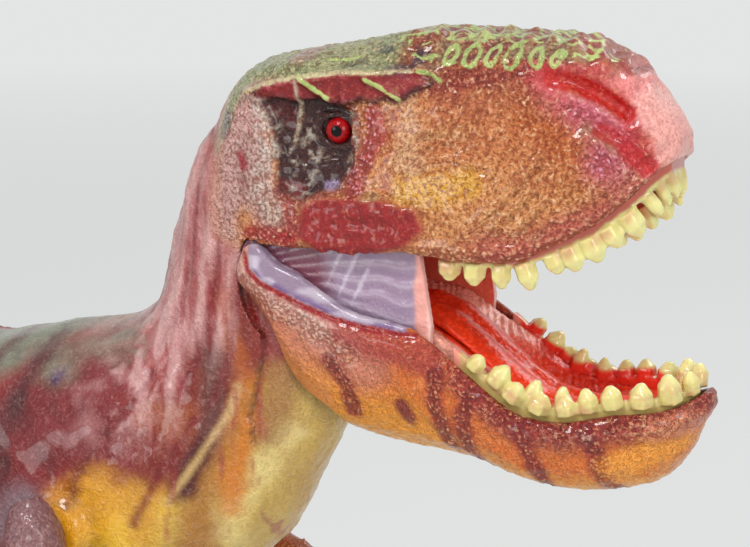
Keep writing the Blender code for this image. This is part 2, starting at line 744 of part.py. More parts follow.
def add_teeth(row, points, table, root, full_length, up):
    """Joins blunt teeth to both sides of a rail, square to the lip or rim, with their roots over it."""
    points = [Vector(point) for point in points]
    for share, width, length_share, back in table:
        point, along = place_on(points, share)
        length = full_length * length_share
        outward = Vector((-along.y, along.x, 0.0)).normalized()
        grow = (outward.cross(along) * -up).normalized()
        grow = Vector((grow.x, grow.y, abs(grow.z) * up))
        base = point + grow * root - outward * back * TOOTH_HALF_WIDTH
        tip = base + grow * length + outward * length * TOOTH_SPLAY_SHARE
        for side in (-1, 1):
            ends = (place(base.x, base.z, side * base.y), place(tip.x, tip.z, side * tip.y))
            join(row, spindle("tooth", *ends, TOOTH_HALF_WIDTH * width, TOOTH_PROFILE_SHARES, count=6))
    return row


def build_upper_teeth(finish):
    """The upper row hangs from a rail that is glued inside the lip."""
    start = HEAD_LENGTH * UPPER_ROW_START_SHARE
    inset = LIP_WALL + SEAT_GAP + RAIL_WIDTH / 2
    row = rail("upper_teeth", upper_edge, start, UPPER_FRONT, inset, -RAIL_WIDTH, RAIL_HEIGHT, finish)
    line = edge_line(upper_edge, start, UPPER_FRONT, inset)
    return add_teeth(row, line, UPPER_TOOTH_SHARES, SEAT_GAP * 6, UPPER_TOOTH_LENGTH, -1)


def build_lower_teeth(finish):
    """The lower row stands on the rim in two tiers, on a rail that is glued inside the jaw's wall."""
    start = JAW_LENGTH * LOWER_ROW_START_SHARE
    inset = SKIN + SEAT_GAP + RAIL_WIDTH / 2
    low, high = SEAT_GAP - RAIL_HEIGHT, RAIL_WIDTH
    row = rail("lower_teeth", lower_edge, start, LOWER_FRONT, inset, low, high, finish)
    line = edge_line(lower_edge, start, LOWER_FRONT, TOOTH_HALF_WIDTH - SEAT_GAP)
    return add_teeth(row, line, LOWER_TOOTH_SHARES, SEAT_GAP * 4, LOWER_TOOTH_LENGTH, 1)


# Joint seats


def snap_neck(limb, point, direction, hole_radius, length):
    """Adds to a limb the grooved neck that snaps into a round hole, bored through from its flange."""
    face = point + direction * SEAT_GAP
    neck_end = point - direction * (SKIN + RUNNING_GAP)
    flange_end = neck_end - direction * FLANGE_THICKNESS
    neck_radius = hole_radius - RUNNING_GAP
    join(limb, cylinder("neck", face + direction * OVERRUN, neck_end - direction * SEAT_GAP, neck_radius))
    join(limb, cylinder("flange", neck_end, flange_end, hole_radius + FLANGE_LIP - RUNNING_GAP))
    bore_end = point + direction * length
    return cut(limb, cylinder("bore", flange_end - direction * OVERRUN, bore_end, neck_radius - SKIN))


def limb_seats():
    """Where the limbs sit: (point on the middle plane, distance out, seat radius, hole radius)."""
    hip, shoulder = place(HIP_FORWARD, HIP_RISE), place(SHOULDER_FORWARD, SHOULDER_RISE)
    return (
        (hip, HIP_SEAT_OUT, HIP_SEAT_RADIUS, HIP_HOLE_RADIUS),
        (shoulder, SHOULDER_SEAT_OUT, SHOULDER_SEAT_RADIUS, SHOULDER_HOLE_RADIUS),
    )


def across(point, start, end, radius, name):
    """A cylinder along X through a point."""
    return cylinder(name, Vector((start, point.y, point.z)), Vector((end, point.y, point.z)), radius)


# Body shell


def build_body_shell(finish):
    body = trunk_solid()
    join(body, head_solid())
    for point, out, radius, hole in limb_seats():
        for side in (-1, 1):
            join(body, across(point, side * out * BOSS_ROOT_SHARE, side * out, radius, "boss"))
    cut(body, trunk_hollow())
    cut(body, head_hollow())
    for point, out, radius, hole in limb_seats():
        inside = out - SKIN
        cut(body, across(point, -inside, inside, hole + FLANGE_LIP + RUNNING_GAP, "relief"))
        cut(body, across(point, -out - OVERRUN, out + OVERRUN, hole, "hole"))
    seam = place(-TRUNK_LENGTH, seam_rise())
    back = Vector((0, OVERRUN, 0))
    cut(body, cylinder("tail_hole", seam - back * 2, seam + back, TAIL_HOLE_RADIUS))
    cut_mouth(body)
    for side in (-1, 1):
        eye = place(EYE_FORWARD, EYE_RISE)
        cut(body, across(eye, 0, side * HEAD_HALF_WIDTH, EYE_STEM_RADIUS + SEAT_GAP, "eye_hole"))
    body.data.materials.append(finish)
    return body


def cut_mouth(body):
    """The palate's seat, the room for the sides of the jaw and the cheek webs, and the pin's bore."""
    rear = HEAD_LENGTH * UPPER_ROW_START_SHARE - SEAT_GAP
    line = edge_line(upper_edge, JAW_LENGTH * THROAT_SHARE, UPPER_FRONT + SEAT_GAP, LIP_WALL)
    cut(body, slab("palate_seat", limited(line, rear, FORK_HALF_GAP), -OVERRUN * 3, ROOF_HEIGHT))
    wide = HEAD_HALF_WIDTH + OVERRUN
    for side in (-1, 1):
        for degrees in (0, -JAW_OPENING_DEGREES):
            room = turned(jaw_rear_outline(RUNNING_GAP), degrees)
            cut(body, prism("jaw_room", room, side * FORK_HALF_GAP, side * wide))
        cut(body, prism("web_pocket", web_sweep(), side * FORK_HALF_GAP, side * SLOT_OUT))
    cut(body, across(place(0.0, 0.0), -wide, wide, PIN_RADIUS + SEAT_GAP, "pin_bore"))


def web_sweep():
    """The fan that a cheek web sweeps above the lip as the mouth closes, and its eye round the pin."""
    reach = max(math.hypot(f * HEAD_LENGTH, r * HEAD_DEPTH) for f, r in WEB_SUNK_SHARES + WEB_FREE_SHARES)
    top = math.degrees(math.asin(WEB_POCKET_TOP_SHARE * HEAD_DEPTH / reach))
    eye = WEB_EYE_RADIUS + RUNNING_GAP
    return arc(reach + RUNNING_GAP, -WEB_SWEEP_BELOW_DEGREES, top, 7) + arc(eye, 90, 270, 6)


def jaw_rear_outline(clearance):
    """Side outline of the rear of the jaw from its rim round the hinge to its keel, grown by a clearance."""
    rows = [row for row in smooth_rows(JAW_SHARES, 2) if row[0] < JAW_ROOM_SHARE]
    rim = [(row[0] * JAW_LENGTH, row[2] * JAW_DEPTH + clearance) for row in rows]
    keel = [(row[0] * JAW_LENGTH, row[3] * JAW_DEPTH - clearance) for row in rows]
    rim[0] = (rim[0][0] - clearance, rim[0][1])
    keel[0] = (keel[0][0] - clearance, keel[0][1])
    return list(reversed(rim)) + keel


# Lower jaw


def jaw_ring(row, inset=0.0, lift=0.0):
    """A U-shaped section of the jaw. Lift raises its flat top above the rim, for a cutter."""
    forward, out = row[0] * JAW_LENGTH, row[1] * JAW_HALF_WIDTH - inset
    rim, keel = row[2] * JAW_DEPTH + lift, row[3] * JAW_DEPTH + inset
    side = [(out * share, rim + (keel - rim) * down) for share, down in JAW_SECTION_SHARES]
    right = [place(forward, rise, o) for o, rise in side]
    left = [place(forward, rise, -o) for o, rise in reversed(side)]
    top = [place(forward, rim, -out * share) for share in (0.5, 0.0, -0.5)]
    return right + [place(forward, keel, 0.0)] + left + top


def build_jaw_shell(finish):
    """A trough with two side lobes that hang on the pin and straddle the core of the neck."""
    rows = smooth_rows(JAW_SHARES, 2)
    jaw = loft("jaw_shell", [jaw_ring(row) for row in rows], finish)
    hollow_rows = [row for row in JAW_SHARES if row[0] > JAW_HOLLOW_START_SHARE][:-1]
    cut(jaw, loft("jaw_hollow", [jaw_ring(row, SKIN, OVERRUN) for row in hollow_rows]))
    throat, high, low = THROAT_SHARE * JAW_LENGTH, JAW_DEPTH, -JAW_DEPTH - OVERRUN
    rear = -THROAT_SHARE * JAW_LENGTH
    core = ((rear, low), (throat, low), (throat, high), (rear, high))
    cut(jaw, prism("neck_room", core, -FORK_HALF_GAP, FORK_HALF_GAP))
    pocket = web_sunk_line(SEAT_GAP) + [(web_sunk_line()[-1][0] + SEAT_GAP, high), (rear, high)]
    pocket.insert(0, (rear, pocket[0][1]))
    wall = WEB_OUT + SEAT_GAP
    for side in (-1, 1):
        cut(jaw, prism("web_pocket", pocket, side * (FORK_HALF_GAP - SEAT_GAP), side * wall))
    end = wall + PIN_END
    return cut(jaw, across(place(0.0, 0.0), -end, end, PIN_RADIUS + SEAT_GAP, "pin_bore"))


# Mouth inserts


def web_sunk_line(drop=0.0):
    return [(f * HEAD_LENGTH, r * HEAD_DEPTH - drop) for f, r in WEB_SUNK_SHARES]


def build_cheek_web(finish):
    """The fan-shaped web of the left corner of the mouth, with an eye that turns on the pin."""
    free = [(f * HEAD_LENGTH, r * HEAD_DEPTH) for f, r in WEB_FREE_SHARES]
    eye = arc(WEB_EYE_RADIUS, 90, 240, 6)
    web = prism("cheek_web_left", web_sunk_line() + free + eye, FORK_HALF_GAP, WEB_OUT)
    cut(web, across(place(0.0, 0.0), 0.0, HEAD_HALF_WIDTH, PIN_RADIUS + SEAT_GAP, "pin_bore"))
    web.data.materials.append(finish)
    return web


def insert_inset():
    """How far inside the lip the palate lies, past the lip's wall and the rail of the teeth."""
    return LIP_WALL + RAIL_WIDTH + SEAT_GAP * 2


def build_palate(finish):
    front = UPPER_FRONT - SEAT_GAP
    line = edge_line(upper_edge, THROAT_SHARE * JAW_LENGTH + SEAT_GAP, front, insert_inset())
    top = ROOF_HEIGHT - SEAT_GAP
    line = limited(line, UPPER_FRONT, FORK_HALF_GAP - SEAT_GAP)
    return slab("palate", line, top - PALATE_THICKNESS, top, finish)


def floor_plate(name, low, high, finish=None, ridge=0.0):
    """A plate over the mouth floor's outline, between two heights over its underside."""
    inset = insert_inset() + SKIN - LIP_WALL
    line = edge_line(lower_edge, THROAT_SHARE * JAW_LENGTH + SEAT_GAP, LOWER_FRONT - SEAT_GAP * 2, inset)
    line = limited(line, LOWER_FRONT, FORK_HALF_GAP - SEAT_GAP)
    under = -RAIL_HEIGHT - SEAT_GAP
    return slab(name, line, under + low, under + high, finish, -FLOOR_SAG, ridge)


def build_mouth_floor(finish):
    """A trough whose raised sides stand beside the lower teeth."""
    return floor_plate("mouth_floor", 0.0, FLOOR_THICKNESS, finish, FLOOR_RIDGE)


def build_tongue(finish):
    """A tongue with a groove down its middle, lying in the trough of the mouth floor."""
    rings = []
    for along, width, height in smooth_rows(TONGUE_SHARES, 2):
        forward, half_width = along * JAW_LENGTH, width * TONGUE_HALF_WIDTH
        ring = []
        bed = lower_edge(forward)[1] - RAIL_HEIGHT + FLOOR_THICKNESS - FLOOR_SAG
        for out_share, level in TONGUE_SECTION_SHARES:
            rise = bed + TONGUE_HEIGHT * (height * max(level, 0.0) + min(level, 0.0))
            ring.append(place(forward, rise, out_share * half_width))
        rings.append(ring)
    tongue = loft("tongue", rings, finish)
    return cut(tongue, floor_plate("bed", -OVERRUN * 2, FLOOR_THICKNESS + SEAT_GAP, ridge=FLOOR_RIDGE))


# Eyes and pin


def build_eye(finish):
    """A domed eye with a stem that plugs into the skull, on the left."""
    seat = place(EYE_FORWARD, EYE_RISE, EYE_OUT)
    outward = Vector((1, 0, 0))
    centres = [seat + outward * EYE_RADIUS * out for out, _ in EYE_SHARES]
    eye = tube("eye_left", centres, [EYE_RADIUS * size for _, size in EYE_SHARES], finish, 16)
    inner = seat - outward * HEAD_WALL / 2
    return join(eye, cylinder("stem", inner, seat + outward * SEAT_GAP, EYE_STEM_RADIUS, count=12))


def build_pin(finish):
    end = WEB_OUT + PIN_END
    return cylinder("jaw_pin", place(0, 0, -end), place(0, 0, end), PIN_RADIUS, finish, 16)


# Tail


def tail_rings(rows, inset, count):
    rings = []
    for along, drop, radius in rows:
        centre = place(-TRUNK_LENGTH - SEAT_GAP - along * TAIL_LENGTH, seam_rise() - drop * TAIL_DROP)
        size = max(radius * SEAM_RADIUS, TAIL_TIP_RADIUS) - inset
        rings.append(ellipse_ring(centre, Vector((0, 0, size)), Vector((size, 0, 0)), count))
    return rings


def build_tail(finish):
    tail = loft("tail", tail_rings(smooth_rows(TAIL_SHARES, 2), 0.0, TAIL_RING), finish)
    cut(tail, loft("tail_hollow", tail_rings(TAIL_SHARES[1:7], SKIN, HOLLOW_RING)))
    seam = place(-TRUNK_LENGTH, seam_rise())
    return snap_neck(tail, seam, Vector((0, 1, 0)), TAIL_HOLE_RADIUS, SEAM_RADIUS)


# Legs


def leg_centre(row):
    height = HINGE_HEIGHT + HIP_RISE
    out = HIP_SEAT_OUT + SEAT_GAP + row[4] * THIGH_THICKNESS
    return place(HIP_FORWARD + row[0] * height, HIP_RISE + row[1] * height, out)


def leg_ring(row, inset, count):
    depth, thick = row[2] * THIGH_DEPTH - inset, row[3] * THIGH_THICKNESS - inset
    return ellipse_ring(leg_centre(row), Vector((0, depth, 0)), Vector((thick, 0, 0)), count)


def build_leg(finish):
    """Thigh, shin and a three-toed foot in one moulding, on the left."""
    leg = loft("leg_left", [leg_ring(row, 0.0, LEG_RING) for row in smooth_rows(LEG_SHARES, 2)], finish)
    ankle = leg_centre(LEG_SHARES[-1])
    for turn, reach in zip(TOE_TURN_DEGREES, TOE_REACH_SHARES):
        heading = Matrix.Rotation(math.radians(-turn), 3, "Z") @ Vector((0, -1, 0))
        join(leg, toe(ankle, heading, reach))
    heel = []
    for along, level, size in HEEL_SHARES:
        heel.append(Vector((ankle.x, ankle.y + along * FOOT_LENGTH, level * TOE_RADIUS)))
    join(leg, tube("heel", heel, [TOE_RADIUS * size for _, _, size in HEEL_SHARES], count=SMALL_RING))
    point = place(HIP_FORWARD, HIP_RISE, HIP_SEAT_OUT)
    hollow = loft("leg_hollow", [leg_ring(row, SKIN, HOLLOW_RING) for row in LEG_SHARES[1:8]])
    cut(leg, cut(hollow, inner_side("inner_wall", point + Vector((SKIN, 0, 0)), THIGH_DEPTH * 3)))
    cut(leg, inner_side("inner_face", point, THIGH_DEPTH * 3))
    snap_neck(leg, point, Vector((1, 0, 0)), HIP_HOLE_RADIUS, THIGH_THICKNESS)
    return cut(leg, below_floor(ankle, FOOT_LENGTH))


def inner_side(name, point, reach):
    """Everything of a limb that would cross its seat plane."""
    outer = point.x + SEAT_GAP
    rings = []
    for out in (outer - reach, outer):
        rings.append([Vector((out, point.y + a * reach, point.z + b * reach))
                      for a, b in ((-1, -1), (1, -1), (1, 1), (-1, 1))])
    return loft(name, rings)


def below_floor(centre, reach):
    """Everything under the floor, near a foot."""
    rings = []
    for level in (-reach, 0.0):
        rings.append([Vector((centre.x + a * reach * 2, centre.y + b * reach * 2, level))
                      for a, b in ((-1, -1), (1, -1), (1, 1), (-1, 1))])
    return loft("floor", rings)


def toe(ankle, heading, reach):
    """A padded toe with a blunt claw."""
    length = FOOT_LENGTH * reach
    centres = []
    for along, level, _ in TOE_SHARES:
        spot = ankle + heading * length * along
        centres.append(Vector((spot.x, spot.y, level * TOE_RADIUS)))
    made = tube("toe", centres, [TOE_RADIUS * size for _, _, size in TOE_SHARES], count=SMALL_RING)
    base, point = centres[-2].copy(), centres[-2] + heading * CLAW_LENGTH
    point.z = TOE_RADIUS * CLAW_TIP_SHARE
    return join(made, spindle("claw", base, point, TOE_RADIUS * CLAW_SHARE, CLAW_PROFILE_SHARES, count=6))


# Arms


def arm_centre(row):
    out = SHOULDER_SEAT_OUT + SEAT_GAP + row[3] * ARM_RADIUS
    return place(SHOULDER_FORWARD + row[0] * ARM_LENGTH, SHOULDER_RISE + row[1] * ARM_LENGTH, out)


def build_arm(finish):
    """A short arm with two clawed fingers, on the left."""
    rows = smooth_rows(ARM_SHARES, 2)
    centres = [arm_centre(row) for row in rows]
    arm = tube("arm_left", centres, [row[2] * ARM_RADIUS for row in rows], finish, 10)
    wrist = centres[-1]
    for lean in (-FINGER_LEAN_SHARE, FINGER_LEAN_SHARE):
        heading = Vector((lean, -1, -0.5 + lean)).normalized()
        knuckle = wrist + heading * ARM_RADIUS
        start = wrist - heading * ARM_RADIUS / 2
        finger = tube("finger", [start, knuckle], [ARM_RADIUS * size for size in FINGER_SHARES], count=6)
        drop = Vector((0, *FINGER_DROP_SHARES)).normalized()
        base, tip = knuckle - heading * ARM_RADIUS / 5, knuckle + drop * FINGER_CLAW_LENGTH
        radius = ARM_RADIUS * FINGER_CLAW_SHARE
        join(finger, spindle("claw", base, tip, radius, CLAW_PROFILE_SHARES, count=6))
        join(arm, finger)
    point = place(SHOULDER_FORWARD, SHOULDER_RISE, SHOULDER_SEAT_OUT)
    cut(arm, inner_side("inner_face", point, ARM_LENGTH))
    return snap_neck(arm, point, Vector((1, 0, 0)), SHOULDER_HOLE_RADIUS, ARM_RADIUS)


def main():
    clear_scene()
    skin = material("painted_vinyl", SKIN_COLOUR, 0.35)
    jaw_skin = material("painted_jaw_vinyl", JAW_COLOUR, 0.35)
    mouth = material("red_vinyl", MOUTH_COLOUR, 0.25)
    web_vinyl = material("purple_vinyl", WEB_COLOUR, 0.35)
    ivory = material("tooth_vinyl", TOOTH_COLOUR, 0.25)
    iris = material("eye_plastic", EYE_COLOUR, 0.10)
    steel = material("steel", STEEL_COLOUR, 0.30, 1.0)

    build_body_shell(skin)
    build_upper_teeth(ivory)
    build_palate(mouth)
    build_pin(steel)
    mirrored(build_eye(iris), "eye_right")

    web = build_cheek_web(web_vinyl)
    jaw_pieces = [web, mirrored(web, "cheek_web_right"), build_jaw_shell(jaw_skin), build_lower_teeth(ivory)]
    jaw_pieces += [build_mouth_floor(mouth), build_tongue(mouth)]
    for piece in jaw_pieces:
        set_origin(piece, place(0.0, 0.0))

    tail = build_tail(skin)
    set_origin(tail, place(-TRUNK_LENGTH, seam_rise()))
    leg = build_leg(skin)
    set_origin(leg, place(HIP_FORWARD, HIP_RISE, HIP_SEAT_OUT))
    mirrored(leg, "leg_right")
    arm = build_arm(skin)
    set_origin(arm, place(SHOULDER_FORWARD, SHOULDER_RISE, SHOULDER_SEAT_OUT))
    mirrored(arm, "arm_right")


main()
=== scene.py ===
"""Looks of the articulated toy tyrannosaur: painted soft vinyl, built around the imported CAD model.

Each skin is a fine mesh taken from its CAD piece, sculpted with folds, ridges and pebbles, and sprayed with
colours that are stored on its points. The materials add the finest wrinkles and the gloss.
Sculpting and painting work in side-view places: (forward, rise, out) from the jaw hinge, in millimetres.
"""

import math

import bmesh
import bpy
import numpy as np
from mathutils import Matrix, Vector


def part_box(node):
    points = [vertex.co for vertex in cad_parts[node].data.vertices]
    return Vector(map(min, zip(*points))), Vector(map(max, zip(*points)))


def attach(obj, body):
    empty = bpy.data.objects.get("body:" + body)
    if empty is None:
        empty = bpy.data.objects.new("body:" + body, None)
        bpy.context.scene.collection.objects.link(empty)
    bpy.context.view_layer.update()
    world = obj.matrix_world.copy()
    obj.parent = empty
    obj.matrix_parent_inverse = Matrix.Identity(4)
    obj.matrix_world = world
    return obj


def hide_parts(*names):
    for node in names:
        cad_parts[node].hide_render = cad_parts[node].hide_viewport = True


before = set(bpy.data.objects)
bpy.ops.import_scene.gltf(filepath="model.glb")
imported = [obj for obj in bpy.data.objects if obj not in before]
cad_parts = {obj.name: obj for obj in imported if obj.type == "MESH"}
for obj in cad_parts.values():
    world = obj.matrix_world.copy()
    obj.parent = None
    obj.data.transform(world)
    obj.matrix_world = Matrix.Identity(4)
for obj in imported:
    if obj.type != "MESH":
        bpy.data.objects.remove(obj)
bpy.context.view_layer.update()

MM = 0.001
HINGE_FORWARD = 156.0
HINGE_HEIGHT = 197.0

# Places of the joints and holes that get plugged, in metres
HIP = (0.0355, -0.040, 0.123)
SHOULDER = (0.0338, -0.106, 0.127)
TAIL_SEAM = (0.0, 0.024, 0.1232)
EYE = (0.0, -0.1752, 0.2262)
PIN = (0.0, -0.156, 0.197)

# Sizes of the skins' finest faces, in metres
BODY_VOXEL, JAW_VOXEL = 0.00069, 0.00055
TAIL_VOXEL, LEG_VOXEL, ARM_VOXEL = 0.00105, 0.00095, 0.0006
TEETH_VOXEL, MOUTH_VOXEL, WEB_VOXEL = 0.00030, 0.00045, 0.00032
TRUNK_SHARE = 0.50

# Half widths and rises of the lip and of the jaw's rim along the head, in millimetres
LIP = ((-16, 13.0, 8.0), (-5, 19.8, 3.6), (1, 21.4, 3.4), (9, 22.3, 3.5), (18, 22.5, 3.75), (28, 22.5, 4.25),
       (38, 22.3, 4.9), (50, 22.0, 4.75), (62, 20.7, 5.0), (70, 18.9, 8.25), (78, 16.4, 12.5), (85, 13.7, 18.5),
       (90, 9.9, 24.0), (93, 5.4, 26.25))
RIM = ((0, 22.0, 2.9), (6, 22.2, -1.2), (11.5, 22.2, -3.2), (20, 22.2, -8.1), (27, 22.2, -10.9), (39, 22.0, -12.8),
       (50, 21.5, -20.2), (58, 20.6, -26.5), (64, 19.5, -29.9), (73, 17.5, -30.8), (82, 15.1, -28.8),
       (90, 12.0, -28.1), (95, 8.7, -26.9), (98.5, 5.1, -25.1), (100.3, 2.2, -23.9))


# Numbers


def srgb(red, green, blue):
    """A colour given in 0 to 255 as linear light."""
    made = []
    for value in (red, green, blue):
        share = value / 255
        made.append(share / 12.92 if share <= 0.04045 else ((share + 0.055) / 1.055) ** 2.4)
    return np.array(made)


def smooth(low, high, value):
    t = np.clip((value - low) / (high - low), 0.0, 1.0)
    return t * t * (3 - 2 * t)


def hashed(x, y, z, seed):
    n = (x * 374761393 + y * 668265263 + z * 1274126177 + seed * 974634777) & 0xFFFFFFFF
    n = ((n ^ (n >> 13)) * 1103515245) & 0xFFFFFFFF
    n = ((n ^ (n >> 15)) * 12345677) & 0xFFFFFFFF
    return ((n ^ (n >> 16)) & 0xFFFF) / 65535.0


def noise(points, size, seed=0):
    """Smooth noise from -1 to 1 whose lumps are about that many millimetres across."""
    scaled = points / size
    base = np.floor(scaled).astype(np.int64)
    t = scaled - base
    t = t * t * (3 - 2 * t)
    total = np.zeros(len(points))
    for dx in (0, 1):
        for dy in (0, 1):
            for dz in (0, 1):
                weight = np.abs(1 - dx - t[:, 0]) * np.abs(1 - dy - t[:, 1]) * np.abs(1 - dz - t[:, 2])
                total += weight * hashed(base[:, 0] + dx, base[:, 1] + dy, base[:, 2] + dz, seed)
    return total * 2 - 1


def layered(points, size, seed=0, layers=3):
    total = np.zeros(len(points))
    for i in range(layers):
        total += noise(points, size / 2**i, seed + i) / 2**i
    return total / 1.75


def cells(points, size, seed=0):
    """For pebbles: distance to the nearest centre and to the next, in pebble sizes, and the pebble's own number."""
    scaled = points / size
    base = np.floor(scaled).astype(np.int64)
    first = np.full(len(points), 9.0)
    second = np.full(len(points), 9.0)
    own = np.zeros(len(points))
    for dx in (-1, 0, 1):
        for dy in (-1, 0, 1):
            for dz in (-1, 0, 1):
                cell = base + (dx, dy, dz)
                gap = np.zeros(len(points))
                for axis in range(3):
                    spot = cell[:, axis] + hashed(cell[:, 0], cell[:, 1], cell[:, 2], seed + 7 * axis)
                    gap += (spot - scaled[:, axis]) ** 2
                gap = np.sqrt(gap)
                nearer = gap < first
                second = np.where(nearer, first, np.minimum(second, gap))
                own = np.where(nearer, hashed(cell[:, 0], cell[:, 1], cell[:, 2], seed + 31), own)
                first = np.where(nearer, gap, first)
    return first, second, own


def swirled(points, size, seed):
    """Three noises side by side, to push places about with."""
    return np.stack([noise(points, size, seed + k) for k in range(3)], axis=1)


def pebbles(points, size, seed, width=0.75, gap=0.22):
    """Domes with grooves between them, and each pebble's own number."""
    first, second, own = cells(points, size, seed)
    return np.clip(1 - (first / width) ** 2, 0, 1) * smooth(0.0, gap, second - first), own


def along_line(points, line):
    """Distance in millimetres to a line of places, and how far along it the nearest place is."""
    line = np.array(line, float)
    points = points[:, :line.shape[1]]
    best = np.full(len(points), 1e9)
    travel = np.zeros(len(points))
    start = 0.0
    for a, b in zip(line, line[1:]):
        step = b - a
        length = np.linalg.norm(step)
        t = np.clip(((points - a) @ step) / length**2, 0, 1)
        gap = np.linalg.norm(points - (a + t[:, None] * step), axis=1)
        travel = np.where(gap < best, start + t * length, travel)
        best = np.minimum(best, gap)
        start += length
    return best, travel


def profile_at(table, forward, column):
    rows = np.array(table, float)
    return np.interp(forward, rows[:, 0], rows[:, column])


BACKGROUND = srgb(227, 229, 228)
FLOOR_REACH = 30.0
DOME_STRENGTH = 0.46
LAMP_TARGET = (0, -0.17, 0.19)
# Name, place in metres, diameter in metres and power in watts
LAMPS = (
    ("key_lamp", (-0.62, -0.12, 1.0), 0.28, 5.4),
    ("side_lamp", (-1.05, 0.35, 0.40), 0.4, 2.0),
    ("front_lamp", (-0.78, -1.05, 0.52), 0.5, 4.6),
    ("far_lamp", (0.8, -0.5, 0.95), 0.5, 3.0),
)
CAMERA_LENS = 85
CAMERA_PLACE = (-0.3615, -0.3522, 0.2763)
CAMERA_BACK = (-0.8791, -0.4288, 0.2079)


# Meshes


def linked(obj):
    bpy.context.scene.collection.objects.link(obj)
    return obj


def from_bmesh(name, built):
    mesh = bpy.data.meshes.new(name)
    built.to_mesh(mesh)
    built.free()
    return linked(bpy.data.objects.new(name, mesh))


def plug(built, start, end, radius):
    """A short solid cylinder that closes a hole before the skin is remeshed."""
    start, end = Vector(start), Vector(end)
    turn = (end - start).to_track_quat("Z", "Y").to_matrix().to_4x4()
    placed = Matrix.Translation((start + end) / 2) @ turn
    bmesh.ops.create_cone(built, cap_ends=True, segments=24, radius1=radius, radius2=radius,
                          depth=(end - start).length, matrix=placed)


def applied(obj):
    graph = bpy.context.evaluated_depsgraph_get()
    mesh = bpy.data.meshes.new_from_object(obj.evaluated_get(graph))
    obj.modifiers.clear()
    obj.data = mesh
    return obj


def remeshed(name, source, voxel, plugs=()):
    """A fine closed skin over a CAD piece or over a mesh, with its holes plugged."""
    built = bmesh.new()
    built.from_mesh(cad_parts[source].data if isinstance(source, str) else source)
    for start, end, radius in plugs:
        plug(built, start, end, radius)
    obj = from_bmesh(name, built)
    modifier = obj.modifiers.new("skin", "REMESH")
    modifier.mode = "VOXEL"
    modifier.voxel_size = voxel
    modifier.use_smooth_shade = True
    return applied(obj)


def thinned(obj, weights, share):
    """Fewer faces where the weights are high."""
    group = obj.vertex_groups.new(name="thin")
    for level in (0.25, 0.5, 0.75, 1.0):
        chosen = np.nonzero((weights > level - 0.25) & (weights <= level))[0]
        group.add([int(i) for i in chosen], level, "REPLACE")
    modifier = obj.modifiers.new("thin", "DECIMATE")
    modifier.ratio = share
    modifier.vertex_group = "thin"
    applied(obj)
    obj.vertex_groups.clear()
    return obj


class Skin:
    """A mesh as arrays of side-view places, with what sculpting and painting do to them."""

    def __init__(self, obj):
        self.obj = obj
        self.mesh = obj.data
        count = len(self.mesh.vertices)
        flat = np.zeros(count * 3, np.float32)
        self.mesh.vertices.foreach_get("co", flat)
        world = flat.reshape(-1, 3).astype(float) / MM
        self.place = np.stack((-world[:, 1] - HINGE_FORWARD, world[:, 2] - HINGE_HEIGHT, world[:, 0]), axis=1)
        pairs = np.zeros(len(self.mesh.edges) * 2, np.int32)
        self.mesh.edges.foreach_get("vertices", pairs)
        self.pairs = pairs.reshape(-1, 2)
        self.neighbours = np.maximum(np.bincount(self.pairs.ravel(), minlength=count), 1)
        self.colour = np.zeros((count, 3))
        self.raised = np.zeros(count)
        self.store()

    def store(self):
        """Writes the places back and takes the new normals."""
        p = self.place
        world = np.stack((p[:, 2], -(p[:, 0] + HINGE_FORWARD), p[:, 1] + HINGE_HEIGHT), axis=1) * MM
        self.mesh.vertices.foreach_set("co", world.astype(np.float32).ravel())
        self.mesh.update()
        flat = np.zeros(len(p) * 3, np.float32)
        self.mesh.vertex_normals.foreach_get("vector", flat)
        normal = flat.reshape(-1, 3).astype(float)
        self.normal = np.stack((-normal[:, 1], normal[:, 2], normal[:, 0]), axis=1)

    @property
    def folded(self):
        """Places with the left side folded onto the right."""
        return self.place * (1, 1, 0) + np.abs(self.place) * (0, 0, 1)

    def averaged(self, values):
        a, b = self.pairs[:, 0], self.pairs[:, 1]
        count = len(self.place)
        if values.ndim == 1:
            return (np.bincount(a, values[b], count) + np.bincount(b, values[a], count)) / self.neighbours
        return np.stack([self.averaged(values[:, i]) for i in range(values.shape[1])], axis=1)

    def soften(self, steps, mask=1.0):
        """Smooths the surface where the mask is 1."""
        weight = np.broadcast_to(mask, len(self.place))[:, None] * 0.5
        for _ in range(steps):
            self.place += (self.averaged(self.place) - self.place) * weight
        self.store()

    def blurred(self, values, steps):
        for _ in range(steps):
            values = (values + self.averaged(values)) / 2
        return values

    def push(self, height):
        """Moves the surface out by heights in millimetres."""
        self.place += self.normal * height[:, None]
        self.raised += height
        self.store()

    def spray(self, mask, colour):
        self.colour += (colour - self.colour) * np.clip(mask, 0, 1)[:, None]

    def dab(self, rows, inside=1.0):
        """Sprays round lines. Each row has line, reach, edge, wobble and seed, then its share and its colour."""
        for *mask, share, colour in rows:
            self.spray(inside * (near(self.folded, *mask) * share), srgb(*colour))

    def attribute(self, name, values):
        if values.ndim == 1:
            made = self.mesh.attributes.new(name, "FLOAT", "POINT")
            made.data.foreach_set("value", values.astype(np.float32))
            return
        made = self.mesh.attributes.new(name, "FLOAT_COLOR", "POINT")
        full = np.concatenate((values, np.ones((len(values), 1))), axis=1)
        made.data.foreach_set("color", full.astype(np.float32).ravel())

    def relief(self, steps=6):
        """How far each point stands over its surroundings, in millimetres: crests above 0, crevices below."""
        return self.raised - self.blurred(self.raised, steps)


def near(points, line, reach, edge, wobble=0.0, seed=0):
    """A soft mask round a line or a single place, with a noisy edge."""
    line = [line] if isinstance(line[0], (int, float)) else list(line)
    if len(line) == 1:
        line = line + [tuple(v + 0.01 for v in line[0])]
    gap, _ = along_line(points, line)
    if wobble:
        gap = gap + layered(points, reach * 0.8 + 2, seed) * wobble
    return 1 - smooth(reach - edge / 2, reach + edge / 2, gap)


